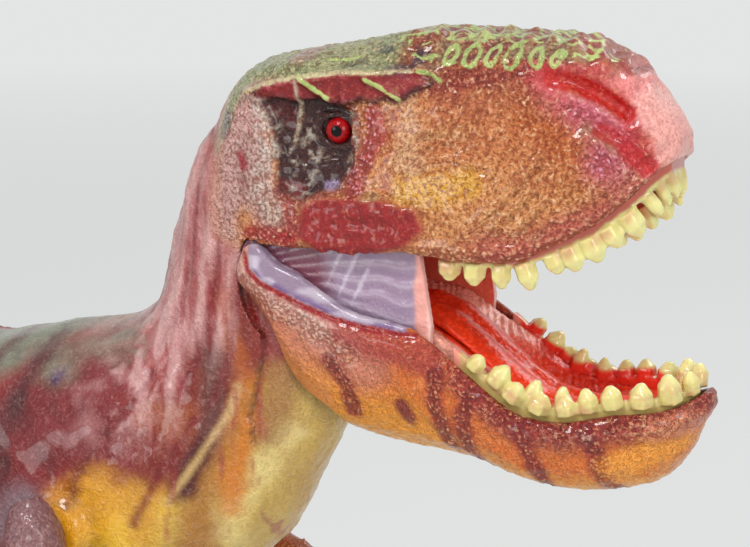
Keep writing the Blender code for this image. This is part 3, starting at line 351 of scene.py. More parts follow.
def within(points, outline, edge=1.5, wobble=0.0, seed=0):
    """A soft mask inside a closed outline of side-view places, with a noisy edge."""
    gap, _ = along_line(points, (*outline, outline[0]))
    inside = np.zeros(len(points), bool)
    for (f0, r0), (f1, r1) in zip(outline, (*outline[1:], outline[0])):
        crosses = (r0 > points[:, 1]) != (r1 > points[:, 1])
        reach = f0 + (points[:, 1] - r0) * (f1 - f0) / (r1 - r0 + 1e-9)
        inside ^= crosses & (points[:, 0] < reach)
    gap = np.where(inside, -gap, gap)
    if wobble:
        gap = gap + layered(points, 4.0, seed) * wobble
    return 1 - smooth(-edge / 2, edge / 2, gap)


# Materials


def new_material(name, roughness, coat=0.0, coat_roughness=0.1, subsurface=0.0, metallic=0.0):
    made = bpy.data.materials.new(name)
    made.use_nodes = True
    shader = made.node_tree.nodes["Principled BSDF"]
    for socket, setting in (("Roughness", roughness), ("Metallic", metallic), ("Coat Weight", coat),
                            ("Coat Roughness", coat_roughness), ("Specular IOR Level", 0.5 if metallic else 0.3),
                            ("Subsurface Weight", subsurface), ("Subsurface Radius", (1.0, 0.4, 0.2)),
                            ("Subsurface Scale", 0.002)):
        shader.inputs[socket].default_value = setting
    return made


class Nodes:
    """Short names for the nodes of one tree."""

    def __init__(self, owner):
        self.tree = owner.node_tree
        self.shader = self.tree.nodes.get("Principled BSDF")
        self.coordinates = self.tree.nodes.new("ShaderNodeTexCoord").outputs["Object"]

    def set_input(self, socket, value):
        if isinstance(value, bpy.types.NodeSocket):
            self.tree.links.new(value, socket)
        else:
            socket.default_value = value

    def add(self, kind, output, inputs, **settings):
        """A new node with these settings and inputs, of which one output is used."""
        made = self.tree.nodes.new("ShaderNode" + kind)
        for name, setting in settings.items():
            setattr(made, name, setting)
        for name, value in inputs:
            self.set_input(made.inputs[name], value)
        return made.outputs[output]

    def value(self, name):
        return self.add("Attribute", "Fac", (), attribute_name=name)

    def colour(self, name):
        return self.add("Attribute", "Color", (), attribute_name=name)

    def noise(self, scale, detail=3.0, where=None, stretch=None):
        where = where or self.coordinates
        if stretch:
            where = self.add("Mapping", "Vector", (("Scale", stretch), ("Vector", where)))
        return self.add("TexNoise", "Fac", (("Scale", scale), ("Detail", detail), ("Vector", where)))

    def warped(self, scale, amount):
        """Coordinates pushed about by noise."""
        swirl = self.add("TexNoise", "Color", (("Scale", scale), ("Vector", self.coordinates)))
        inputs = ((0, swirl), (1, (amount, amount, amount)), (2, self.coordinates))
        return self.add("VectorMath", "Vector", inputs, operation="MULTIPLY_ADD")

    def cells(self, scale, where):
        return self.add("TexVoronoi", "Distance", (("Scale", scale), ("Vector", where)))

    def ranged(self, value, low, high, first=0.0, last=1.0, kind="SMOOTHSTEP"):
        names = ("Value", "From Min", "From Max", "To Min", "To Max")
        return self.add("MapRange", "Result", zip(names, (value, low, high, first, last)), interpolation_type=kind)

    def maths(self, operation, *values):
        return self.add("Math", "Value", enumerate(values), operation=operation)

    def mixed(self, share, a, b, kind="MIX"):
        a, b = ((*c, 1.0) if isinstance(c, np.ndarray) else c for c in (a, b))
        inputs = ((0, share), (6, a), (7, b))
        return self.add("Mix", 2, inputs, data_type="RGBA", blend_type=kind, clamp_factor=True)

    def bump(self, height, distance):
        bumped = self.add("Bump", "Normal", (("Strength", 1.0), ("Distance", distance), ("Height", height)))
        self.set_input(self.shader.inputs["Normal"], bumped)


def crease(n, value, width):
    """0 in thin curving lines, 1 between them."""
    return n.ranged(n.maths("ABSOLUTE", n.maths("SUBTRACT", value, 0.5), 0.0), 0.0, width)


def skin_material(name):
    """Painted vinyl: sprayed colours, crevices darkened partly by brown paint run into them and partly as painted
    shade, raised parts made paler partly by paint brushed lightly on and partly as painted highlight, and a glossy
    varnish.
    """
    finish = new_material(name, 0.38, coat=0.45, coat_roughness=0.10, subsurface=0.04)
    n = Nodes(finish)
    warped = n.warped(420, 0.0016)
    lumps = n.maths("SUBTRACT", n.noise(800, 2, warped), 0.5)
    small = n.maths("SUBTRACT", n.noise(1600, 2), 0.5)
    ridges = n.maths("SUBTRACT", 1.0, crease(n, n.noise(640, 1, warped), 0.11))
    patches = n.noise(330, 3)
    cuts = crease(n, n.noise(860, 2, warped), 0.045)
    crinkle = n.maths("MULTIPLY_ADD", lumps, 2.0, n.maths("MULTIPLY_ADD", ridges, 0.6, n.maths("MULTIPLY", cuts, 0.4)))
    crinkle = n.maths("SUBTRACT", crinkle, 0.12)
    pebble = n.ranged(n.cells(900, warped), 0.75, 0.05, -0.1, 1.15)
    share = n.value("pebbly")
    height = n.maths("MULTIPLY", pebble, share)
    height = n.maths("MULTIPLY_ADD", crinkle, n.maths("SUBTRACT", 1.0, share), height)
    height = n.maths("MULTIPLY_ADD", small, 1.3, height)
    n.bump(n.maths("MULTIPLY", height, n.value("fine")), 0.00056)
    colour = n.colour("paint")
    # Crevices darkened by a brown multiply: partly paint run into them, partly painted shade.
    wash_and_shade = n.maths("MULTIPLY", n.ranged(height, 0.5, -0.1), n.value("wash_and_shade"))
    colour = n.mixed(wash_and_shade, colour, np.array((0.50, 0.28, 0.20)), "MULTIPLY")
    # Raised parts turned paler: partly paint brushed lightly on, partly painted highlight.
    drybrush_highlight_tops = n.maths("MULTIPLY", n.ranged(height, 0.45, 1.1), n.value("drybrush_and_highlight"))
    drybrush_highlight_tops = n.maths("MULTIPLY", drybrush_highlight_tops, n.ranged(patches, 0.36, 0.6, 0.4, 1.0))
    colour = n.mixed(drybrush_highlight_tops, colour, n.colour("pale"))
    n.set_input(n.shader.inputs["Base Color"], colour)
    rough = n.ranged(n.noise(700, 2), 0.3, 0.7, 0.28, 0.44)
    n.set_input(n.shader.inputs["Roughness"], rough)
    return finish


# Body skin: skull, neck and trunk


def hidden_by_joint(place, normal):
    """1 on the flat faces between skull, cheek webs and jaw, and in the palate's seat, which stay as they are."""
    f, r, o = place[:, 0], place[:, 1], np.abs(place[:, 2])
    outer = (o > 19.2) & (r > 5.5) & (normal[:, 2] * np.sign(place[:, 2]) > 0.2)
    side_faces = (np.hypot(f, r) < 52) & (f > -9) & (o < 21.0) & (np.abs(normal[:, 2]) > 0.8) & (r < 23) & (r > -40)
    slot = (f > -12) & (f < 46) & (o > 16.4) & (o < 20.6) & (r < 22.5) & (r > 2)
    seat = (f > 15) & (o < profile_at(LIP, f, 1) - 0.7) & (r < profile_at(LIP, f, 2) + 5.6)
    room = (np.hypot(f, r) < 30) & (o > 16.6) & (o < 21.8) & (np.abs(normal[:, 2]) < 0.6)
    return ((side_faces | slot | seat | room) & ~outer).astype(float)


CORE_SIDE = 16.9
BROW = ((-12, 29), (-8, 33.5), (-4.3, 36.4), (0.7, 38.3), (6.3, 40), (11.3, 41), (20.7, 42), (30, 42.5), (38.6, 43))
BROW_EDGE = ((-0.5, 34.4), (3.5, 35.4), (6.9, 36.1), (9, 35.0), (11.7, 35.6), (15, 36.2), (17.5, 35.4), (21.2, 35.2),
             (25.7, 36.6), (28.5, 36.2), (31.3, 36.8), (34.5, 36.4), (37.3, 38.5), (41.1, 40.3))
CREST = ((38.6, 42.7), (43.9, 43.3), (51.3, 44.7), (59.8, 45.8), (68.7, 45.7), (74.9, 45.3), (79.8, 45.3), (83.6, 42.3))
SPIKES = (
    ((11.4, 41.2), (13.9, 39.1), (15.9, 37.6), (17.9, 36.3)),
    ((27.4, 41.0), (30.4, 39.6), (32.4, 38.3), (34.7, 36.9)),
    ((38.2, 43.1), (40.2, 42.7), (41.7, 42), (43.4, 41)),
)
PALE_LINE = ((10.9, 40.1), (10.5, 35.6), (10.2, 32.7), (9.8, 29.3), (9.0, 26.0))
NOSTRIL = ((67.4, 42.4), (72.1, 41.5), (76.5, 39.5), (80.6, 37.4), (83.0, 35.4))
SECOND_GROOVE = ((78.1, 32.1), (82.1, 30.2), (84.1, 29), (85.6, 27.3), (87.9, 24.2))
JUGAL = ((15.0, 10.2), (21, 9.5), (30, 9.6), (38.5, 10.0))
SOCKET = ((-0.6, 36.5), (2.6, 30.7), (5, 24.3), (5.5, 19.5), (6.1, 14.8), (12, 13.9), (16.4, 15.9), (21.2, 17.5),
          (24.2, 22.2), (23.9, 27.4), (22.8, 33.6), (14, 36.0), (6, 36.0))
JUGAL_EDGE = ((12.5, 12.4), (16, 14.6), (24, 15.2), (33, 15.6), (41, 14.0), (43.0, 9.6), (39, 5.8), (32, 4.2),
              (25, 2.6), (17, 2.6), (12.0, 5.6))
FOLDS = (
    ((36.6, 21.0), (38.9, 24.4), (41.7, 26.8), (46.2, 27.9), (50.8, 27.6)),
    ((39.9, 21.3), (43.2, 23.6), (47.7, 24.5), (52.3, 23.5), (55.7, 22.9)),
    ((54.4, 9.6), (57.5, 13.4), (61.0, 17.2), (64.9, 21.6), (67.2, 24.2)),
    ((58.7, 9.8), (62.7, 14.3), (65.6, 17.5), (68.4, 20.7)),
    ((63.2, 9.9), (66.8, 13.4), (69.7, 16.6)),
    ((26.2, 24.0), (28.0, 19.5), (31.0, 16.5)),
)
NECK_LINES = (
    ((-20.6, 21), (-21.5, 8), (-22.3, -2), (-25, -13), (-31, -24)),
    ((-12.1, 15), (-13.5, 2), (-15.4, -9.7), (-18, -21), (-24, -33)),
    ((-4.2, 12.4), (-5.4, 2), (-9.3, -11.4), (-11, -23.3), (-16, -36)),
    ((-29, 12), (-30, 0), (-34, -11), (-42, -20), (-52, -25)),
    ((-5.7, -35), (-12, -46.7), (-21.6, -59.2), (-24.6, -70.6)),
    ((-1.6, -44.7), (-5, -60.2), (-9, -74)),
    ((-32, -30), (-38, -40), (-46, -50), (-50, -62)),
    ((-20, -40), (-27, -52), (-34, -66)),
)
SHOULDER_FOLD = ((-72, -38), (-68.5, -44.5), (-60.8, -51.5), (-51.7, -61.1), (-47, -72))


def groove(points, line, depth, width, side=1.0):
    gap, _ = along_line(points, line)
    return -depth * np.exp(-((gap / width) ** 2)) * side


def ridge(points, line, height, width, bumps=0.0, pitch=4.0, side=1.0):
    """A raised line, which swells in bumps along its length."""
    gap, travel = along_line(points, line)
    swell = 1 - bumps + bumps * np.abs(np.cos(math.pi * travel / pitch)) ** 0.8
    return height * swell * np.exp(-((gap / width) ** 2)) * side


def sculpt_head(skin, free):
    """Large forms of the skull, then its pebbles and wrinkles."""
    p = skin.folded
    f, r, o = p.T
    sideways = smooth(0.15, 0.7, np.abs(skin.normal[:, 2]))
    upward = smooth(0.2, 0.8, skin.normal[:, 1])
    above_lip = np.maximum(smooth(-3, 2, r - profile_at(LIP, f, 2) + 2), smooth(14, 18, f))
    head = smooth(-16, -8, f) * above_lip
    lip_gap = r - profile_at(LIP, f, 2)
    brow_band = within(p, (*BROW[2:], *reversed(BROW_EDGE)), 1.2)
    big = (1.3 + 0.6 * layered(skin.place, 2.6, 48)) * brow_band
    big += ridge(p, BROW, 0.9, 1.1, 0.3, 3.1) * smooth(-9, -3, f)
    for line in SPIKES:
        big += ridge(p, line, 1.0, 0.75) + groove(p, [(a - 2.6, b + 0.2) for a, b in line], 0.5, 1.3)
    big += ridge(p, ((2.5, 38.3), (6.5, 36.6)), 0.6, 1.0) + ridge(p, ((22, 41.2), (21.5, 36.2)), 0.6, 0.8)
    big += ridge(p, PALE_LINE, 0.5, 0.6, 0.3, 1.8)
    big -= 1.1 * within(p, SOCKET, 2.6) * sideways
    big += layered(skin.place, 3.4, 45) * 0.7 * within(p, SOCKET, 3.0) * sideways
    big += ridge(p, CREST, 1.0, 1.4, 0.5, 4.2)
    for line in green_rings():
        big += ridge(p, line, 0.55, 0.5)
    lid = np.hypot((f - 19.0) / 3.9, (r - 29.1 + 0.12 * (f - 19.0)) / 2.7)
    big += 1.7 * np.exp(-(((lid - 1.22) / 0.26) ** 2)) * smooth(0.0, 0.3, np.abs(skin.normal[:, 2]))
    jugal = within(p, JUGAL_EDGE, 2.4, 0.5, 46)
    big += 0.9 * jugal * sideways
    big += ridge(p, ((14, 13.6), (20, 14.4), (31, 15.2), (40, 14.0)), 0.6, 0.9, 0.3, 3.6, sideways)
    big += ridge(p, ((24, 12.2), (30, 12.6), (37, 12.4)), 0.8, 1.2, 0.5, 2.6, sideways)
    big += ridge(p, ((24, 8.4), (30, 8.0), (38, 8.6)), 0.6, 1.2, 0.3, 2.7, sideways)
    big += groove(p, NOSTRIL, 1.5, 1.5) * (0.55 + 0.45 * smooth(68, 75, f))
    big += ridge(p, ((68.9, 44.1), (72.8, 43.7), (76.9, 42.6), (80.1, 40.8), (84, 38.0)), 0.7, 1.2)
    big += ridge(p, ((69.3, 39.4), (72.4, 38.2), (75.3, 37), (78.5, 35.5), (81.6, 33.9)), 0.7, 1.2, 0.4, 2.2)
    big += groove(p, SECOND_GROOVE, 1.2, 1.2, sideways)
    big += ridge(p, ((75.4, 31.0), (79, 29), (82, 26.5), (84.0, 23.6)), 0.6, 1.3, 0.3, 2.4)
    big += 0.8 * near(p, ((88.3, 28.0), (90, 24)), 2.6, 3.0)
    for line in FOLDS:
        big += groove(p, line, 0.5, 0.8, sideways)
        big += ridge(p, [(a - 1.3, b + 1.1) for a, b in line], 0.45, 1.0, 0.0, 1.0, sideways)
    big += 0.55 * np.exp(-(((lip_gap - 1.3) / 1.2) ** 2)) * sideways * smooth(6, 14, f)
    big -= 0.45 * np.exp(-(((lip_gap - 4.1) / 1.3) ** 2)) * sideways * smooth(44, 56, f)
    rows = np.cos(2 * math.pi * (f + noise(skin.place, 9, 5) * 0.8 - o * 0.25) / 5.3)
    big += 0.5 * rows * upward * smooth(30, 38, f) * (1 - smooth(84, 90, f)) * (1 - smooth(9, 13, o))
    big += 0.6 * np.exp(-((o / 1.6) ** 2)) * upward * smooth(26, 34, f) * (1 - smooth(78, 86, f))
    big += 1.2 * near(p, ((71.5, 48.5, 4.2), (73, 48.5, 2.5)), 1.8, 2.6)
    warp = swirled(skin.place, 5, 11) * 0.9
    domes, own = pebbles(skin.place + warp, 2.5, 3)
    coarse = domes * (0.25 + 0.5 * own)
    snout = near(p, ((74.5, 36), (80.7, 33.7), (84.6, 32.6), (80, 28), (79, 24)), 3.0, 6.0, 2.0, 47)
    lip = np.exp(-((lip_gap / 3.0) ** 2)) * smooth(30, 45, f)
    amount = 0.16 + 0.85 * jugal + 0.4 * snout + 0.4 * lip + 0.45 * upward * (1 - smooth(60, 85, f))
    small, _ = pebbles(skin.place + warp * 0.6, 1.45, 8, 0.7, 0.2)
    creases = -np.abs(layered(skin.place * (1.0, 1.9, 1.0), 4.2, 21)) ** 0.7
    front = near(p, ((74, 48.5), (79, 46.5), (86, 40), (90.3, 34.5), (92.3, 30), (93, 25)), 4.6, 4)
    fine = (coarse * amount + small * 0.2 + creases * 0.34) * (1 - 0.75 * front)
    skin.push((big + fine) * head * free)
    return head, jugal, snout, lip


def trunk_seats(skin):
    """0 where the arms, the legs and the tail turn against the trunk."""
    p = skin.folded
    seat = 1 - near(p, ((-50, -70, 33.8), (-50, -70.2, 33.8)), 9.5, 3.0)
    seat *= 1 - near(p, ((-116, -74, 35.5), (-116, -74.2, 35.5)), 20.0, 3.0)
    return seat * smooth(-179, -172, p[:, 0])


def sculpt_neck(skin, free, head):
    p = skin.folded
    body = (1 - head)
    big = np.zeros(len(p))
    for line in NECK_LINES:
        big += ridge(p, line, 0.45, 1.8) + groove(p, [(a + 3.2, b - 0.8) for a, b in line], 0.3, 1.4)
    big *= 0.6 + 0.6 * noise(skin.place, 9, 43)
    big += layered(skin.place * (1.0, 0.22, 1.0), 4.6, 44) * 0.6
    big += ridge(p, SHOULDER_FOLD, 1.2, 3.4) + groove(p, [(a + 6, b - 3) for a, b in SHOULDER_FOLD], 0.9, 3.0)
    big += layered(skin.place * (1.0, 0.45, 1.0), 7.0, 41) * 0.55
    scales, _ = pebbles((skin.place + swirled(skin.place, 7, 51)) * (1.0, 0.8, 1.0), 3.2, 55, 0.8, 0.2)
    skin.push((big + scales * 0.24) * body * free * trunk_seats(skin))


CHEST_PAINT = (
    (((-62, -44), (-48, -46), (-34, -49), (-25, -48)), 8, 7, 2.5, 63, 0.92, (114, 22, 28)),
    (((-38, -66), (-44, -72), (-48, -82)), 11, 8, 4, 1, 1, (238, 168, 36)),
    (((-24, -64), (-30, -72), (-40, -86)), 9, 9, 3, 2, 0.9, (240, 196, 70)),
    (((-25, -56), (-30, -70)), 3.5, 6, 3, 14, 0.3, (176, 70, 28)),
)
THROAT_PAINT = (
    (((6, -38), (-2, -50), (-8, -62), (-18, -78)), 11, 10, 3, 3, 1, (198, 166, 86)),
    (((4, -42), (-5, -56), (-12, -70)), 3.0, 5, 3, 15, 0.6, (240, 222, 150)),
    (((-6, -36), (-11, -48), (-15, -60), (-17, -74)), 4.0, 6, 2, 4, 0.8, (164, 104, 44)),
    (((-7, -14), (-9, -24), (-17, -38), (-25, -50)), 7, 7, 3, 5, 0.9, (124, 46, 28)),
    (((-19, -42), (-24, -41), (-28, -40)), 4.0, 5, 2.5, 181, 0.7, (160, 88, 56)),
    (((-12.3, -24), (-12.2, -31), (-12.6, -40), (-14.6, -48), (-19, -57)), 3.0, 4.4, 1.6, 182, 0.95, (78, 22, 14)),
    (((-10, -11), (-8.4, -17), (-6.8, -22), (-5.4, -26), (-3.4, -30)), 2.2, 3.2, 1.0, 183, 0.85, (172, 88, 34)),
    (((-4.2, -33), (-4.4, -40), (-6.4, -47), (-8, -55)), 3.4, 4.4, 1.4, 184, 0.7, (192, 120, 40)),
    (((-3, -40), (-7, -52), (-9, -62)), 2.0, 4, 1.5, 66, 0.7, (206, 116, 34)),
    (((-6.4, -32), (-7.7, -37), (-11.1, -42.7), (-15, -49), (-22.3, -61)), 0.9, 1.8, 0.4, 67, 0.8, (206, 172, 112)),
    (((4, -30), (2, -36), (0, -42)), 4, 6, 2, 64, 0.75, (150, 98, 52)),
    (((-40, -62), (-34, -58), (-30, -62)), 5, 6, 2.5, 189, 0.6, (206, 150, 62)),
    (((-27, -44), (-31, -50), (-34, -55)), 2.4, 4, 1.6, 190, 0.5, (128, 40, 44)),
    (((-22, 14), (-23, 0), (-26, -14), (-34, -24)), 9, 10, 3, 6, 0.6, (190, 116, 114)),
    (((-8, 10), (-8, 0), (-12, -14)), 6, 8, 3, 7, 0.6, (164, 78, 76)),
    (((-44, -30), (-58, -38), (-60, -50)), 11, 12, 4, 8, 0.8, (118, 24, 34)),
)
SHOULDER_PAINT = (
    (((-54.8, -33.9), (-55.5, -34.5)), 1.6, 1.4, 0.5, 9, 1, (44, 42, 84)),
    (((-52, -70), (-54, -72)), 3.0, 3.0, 1.2, 10, 0.9, (104, 16, 40)),
    (((-63.1, -70.3), (-57.5, -65.2)), 6.0, 6, 2, 11, 0.8, (140, 122, 130)),
)
CHEEK_PAINT = (
    (((35, 34), (37, 27), (39, 21)), 4.0, 6, 2.0, 29, 0.7, (224, 174, 134)),
    (((48, 32), (60, 34), (68, 30)), 9, 9, 3, 20, 0.6, (198, 112, 68)),
    (((38, 17.5), (44, 18.2), (52, 20.4)), 3.4, 3.6, 1.4, 21, 0.85, (224, 166, 60)),
    (((63.9, 34.2), (70.6, 30), (76.1, 26.1)), 4.0, 6, 2.0, 22, 0.85, (190, 98, 48)),
    (((66, 24), (72, 21), (76, 20)), 3.0, 5, 2.0, 48, 0.6, (196, 120, 70)),
)
CROWN_EDGE_PAINT = (
    (((34, 39.5), (44, 41.2), (56, 42.6), (68, 43.4)), 2.8, 4.0, 1.2, 23, 0.85, (146, 46, 48)),
    (((44, 36), (56, 37), (64, 38)), 2.0, 4.0, 1.6, 50, 0.4, (160, 70, 60)),
    (((67, 44.6), (75, 42), (82, 38), (86, 34)), 5.4, 5, 1.4, 25, 0.9, (196, 72, 78)),
    (((67, 43.6), (71, 42.6), (75, 40.6)), 2.4, 2.6, 0.8, 30, 0.8, (172, 40, 40)),
    (((76, 34), (80.5, 30), (83, 25)), 4.5, 5, 1.5, 33, 0.7, (204, 106, 104)),
    (((69, 39.5), (76, 36.4), (82, 33), (84, 28)), 4.6, 5, 1.5, 65, 0.85, (200, 92, 100)),
)
SNOUT_PAINT = (
    (((82, 44), (86, 40), (90.3, 34.5), (92.3, 30), (93, 26)), 3.2, 4, 1, 24, 0.9, (236, 148, 146)),
    (((87, 38), (90.5, 31), (91.8, 25)), 2.8, 3, 1, 51, 0.8, (242, 178, 168)),
    (((84.5, 32), (87.4, 29.5), (88.2, 26)), 1.6, 2.4, 0.6, 26, 0.85, (196, 54, 52)),
    (NOSTRIL, 1.8, 1.6, 0.4, 27, 1, (176, 20, 18)),
    (SECOND_GROOVE, 1.3, 1.4, 0.4, 28, 1, (160, 28, 38)),
    (((-4, 32), (-6, 26), (-9, 19), (-12, 12), (-15, 4)), 8.5, 6, 2.5, 31, 0.9, (202, 160, 156)),
    (((-1, 22), (1, 14), (6, 9)), 5.0, 4, 2.0, 52, 0.9, (188, 150, 142)),
    (((9, 12.5), (11.5, 8), (9, 5)), 2.4, 3, 1.2, 62, 0.85, (170, 62, 58)),
    (((28.8, 33), (29.9, 29), (27.6, 23.6), (25.0, 17.5)), 2.6, 2.6, 1.0, 53, 0.9, (184, 74, 72)),
    (((33.6, 34), (33.6, 28.2), (32.7, 22.9), (33, 18)), 1.4, 2.2, 1.0, 54, 0.8, (190, 96, 46)),
)
SKULL_REAR_PAINT = (
    (((-2, 5.5), (4, 5.2), (10, 5)), 1.8, 2.6, 1.0, 55, 0.9, (176, 44, 42)),
    ((*SOCKET[4:], SOCKET[0]), 1.7, 2.0, 0.6, 78, 0.85, (158, 78, 72)),
)
REAR_EDGE_PAINT = (
    # A near-black line along the brow's lower edge: painted shadow of the overhang.
    (BROW_EDGE, 0.7, 1.0, 0.3, 35, 0.8, (62, 12, 16)),
    (((-14, 25), (-11.5, 29), (-9.6, 33), (-6.6, 37.6), (-4.0, 40.6), (1, 42.6), (10.7, 44)),
     2.6, 3.0, 1.2, 36, 0.9, (150, 166, 118)),
    (((-9.6, 30.4), (-10.6, 27)), 1.6, 2.0, 0.8, 58, 0.7, (104, 104, 116)),
    (((-4.7, 22.6), (-3.6, 20)), 1.0, 1.0, 0.5, 59, 0.9, (160, 32, 48)),
)
FLECK_AND_HIGHLIGHT_PAINT = (
    (PALE_LINE, 0.45, 0.6, 0.15, 43, 0.9, (196, 184, 160)),
    # A small lavender spot below the eye: painted highlight.
    (((18, 17.2), (20.5, 17.6)), 0.9, 0.9, 0.2, 44, 1, (168, 150, 186)),
)
GROOVE_PAINT = (
    (NOSTRIL, 1.9, 0.8, 0.3, 186, 0.8, (190, 36, 26)),
    (SECOND_GROOVE, 1.6, 0.8, 0.3, 187, 0.75, (182, 44, 54)),
    (((84, 28), (86, 26.4), (89, 24.8)), 1.8, 1.4, 0.4, 188, 0.85, (186, 40, 46)),
)


def paint_body(skin, head, jugal, snout, lip):
    p = skin.folded
    f, r, _ = p.T
    upward = smooth(0.1, 0.75, skin.normal[:, 1])
    lip_gap = r - profile_at(LIP, f, 2)
    skin.colour[:] = srgb(150, 66, 58)

    # Trunk and neck
    skin.spray(smooth(-105, -60, f) * 0.5, srgb(128, 30, 38))
    skin.dab(CHEST_PAINT)
    belly = smooth(-0.15, -0.75, skin.normal[:, 1])
    skin.spray(belly * (1 - smooth(-60, -20, f)) * 0.85, srgb(208, 148, 48))
    skin.dab(THROAT_PAINT)
    trunk_back = smooth(0.55, 0.95, skin.normal[:, 1] + 0.25 * noise(skin.place, 11, 15)) * smooth(-12, -26, f)
    skin.spray(trunk_back * 0.9, srgb(124, 134, 112))
    for k in range(9):
        centre = -62 - 14 * k
        line = ((centre, -28 - max(0, k - 2) * 1.2), (centre - 5, -48 - k), (centre - 3, -62 - k))
        skin.spray(near(p, line, 2.4, 3.2, 1.6, 60 + k) * 0.75, srgb(82, 16, 26))
    skin.dab(SHOULDER_PAINT)
    streaks = 0
    for line in NECK_LINES[:4] + (SHOULDER_FOLD,):
        streaks = np.maximum(streaks, near(p, line, 1.6, 2.2, 1.2, 12))
    # Dark red along the neck's grooves, beside its ridges: painted shade.
    for line in NECK_LINES[:4] + NECK_LINES[6:]:
        skin.spray(near(p, [(a + 3.2, b - 0.8) for a, b in line], 1.1, 2.0, 0.7, 13) * 0.7, srgb(112, 14, 22))

    # Skull: the cheek's gold, then the areas round it
    def area(mask, colour):
        skin.spray(head * mask, colour)

    area(1.0, srgb(214, 144, 88))
    skin.dab(CHEEK_PAINT, head)
    area(smooth(8.0, 2.0, lip_gap + layered(skin.place, 5, 49)) * smooth(48, 58, f) * 0.85, srgb(186, 86, 80))
    area(smooth(5.0, 1.5, lip_gap) * smooth(38, 44, f) * (1 - smooth(50, 58, f)) * 0.6, srgb(196, 122, 92))
    skin.dab(CROWN_EDGE_PAINT, head)
    area(snout * 0.85, srgb(198, 96, 114))
    skin.dab(SNOUT_PAINT, head)
    area(jugal, srgb(150, 22, 30))
    skin.dab(SKULL_REAR_PAINT, head)
    dark = within(p, SOCKET, 1.6, 0.8, 32)
    area(dark, srgb(72, 36, 32))
    # Dark red just under the brow's edge, in the socket: painted shade under the overhang.
    area(dark * near(p, ((2.5, 33.5), (6.5, 33.8), (8.6, 31.4)), 2.2, 2.2, 0.6, 56), srgb(94, 20, 24))
    area(dark * near(p, ((6.5, 15.4), (11, 15.2)), 2.4, 2.2, 0.6, 57), srgb(122, 54, 52))
    brow = within(p, (*BROW[3:], *reversed(BROW_EDGE)), 0.9, 0.2, 34)
    area(brow, srgb(140, 22, 32))
    skin.dab(REAR_EDGE_PAINT, head)
    top = upward * smooth(24, 32, f) * (1 - smooth(84, 90, f))
    area(top * smooth(42.0, 44.0, r) * 0.9, srgb(138, 50, 42))
    area(top * smooth(0.1, 0.5, noise(skin.place, 6, 16)) * 0.5, srgb(160, 150, 104))
    rear_top = smooth(41.8, 43.2, r) * (1 - smooth(30, 36, f)) + upward * smooth(30, 22, f) * smooth(38, 42, r)
    area(np.clip(rear_top, 0, 1) * 0.9, srgb(150, 164, 118))
    blots = smooth(-0.15, 0.25, noise(skin.place, 4.2, 17))
    area(near(p, ((24, 44.5), (32, 45), (37, 45)), 3.0, 3.0, 1.2, 37) * blots * 0.8, srgb(58, 60, 78))
    area(near(p, ((8.5, 45.5), (11, 46)), 1.8, 2.4, 1.0, 61) * 0.6, srgb(176, 112, 120))

    relief = skin.relief(5)
    crest = smooth(0.08, 0.35, relief)
    crevice = smooth(-0.05, -0.32, relief)
    # Crevices darkened: partly brown paint run into them, partly painted shade.
    skin.spray(crevice * 0.5, skin.colour * 0.42)
    flecks = near(p, ((2.7, 30), (5.6, 24), (8.5, 20), (12.4, 16.5)), 2.6, 3.0, 1.2, 38)
    flecks = np.maximum(flecks, near(p, ((12.0, 29.0), (12.6, 24.6), (15.5, 22.6), (13.4, 20)), 1.6, 2.0, 0.8, 39))
    flecks = np.maximum(flecks, near(p, ((22.9, 34), (24.4, 30.7), (24.6, 26.4), (23, 21)), 0.9, 1.2, 0.5, 40))
    specks = smooth(0.08, 0.34, noise(skin.place, 1.0, 18) + relief * 0.6)
    area(flecks * specks * 0.85, srgb(182, 172, 158))
    grey = near(p, ((-1.2, 35.6), (1, 30), (2.6, 24), (1.5, 17), (2, 12), (5, 11)), 2.2, 3, 1.5, 41)
    area(grey * smooth(-0.2, 0.2, relief + noise(skin.place, 1.6, 42) * 0.3) * 0.85, srgb(204, 194, 184))
    skin.dab(FLECK_AND_HIGHLIGHT_PAINT, head)
    # Pink-lavender on the raised pebbles of the snout: painted highlight.
    area(snout * smooth(0.1, 0.4, relief) * 0.6, srgb(214, 150, 178))
    grooves = np.maximum(near(p, NOSTRIL, 2.2, 1.2), near(p, SECOND_GROOVE, 1.8, 1.0))
    # Pale tan on the crests: partly paint brushed lightly on, partly painted highlight.
    area(crest * (1 - jugal) * (1 - dark) * (1 - brow) * (1 - grooves) * 0.34, srgb(240, 190, 144))
    skin.dab(GROOVE_PAINT, head)
    # Pink on the brow's raised wrinkles: painted highlight.
    area(brow * smooth(0.1, 0.5, relief) * 0.4, srgb(208, 120, 128))
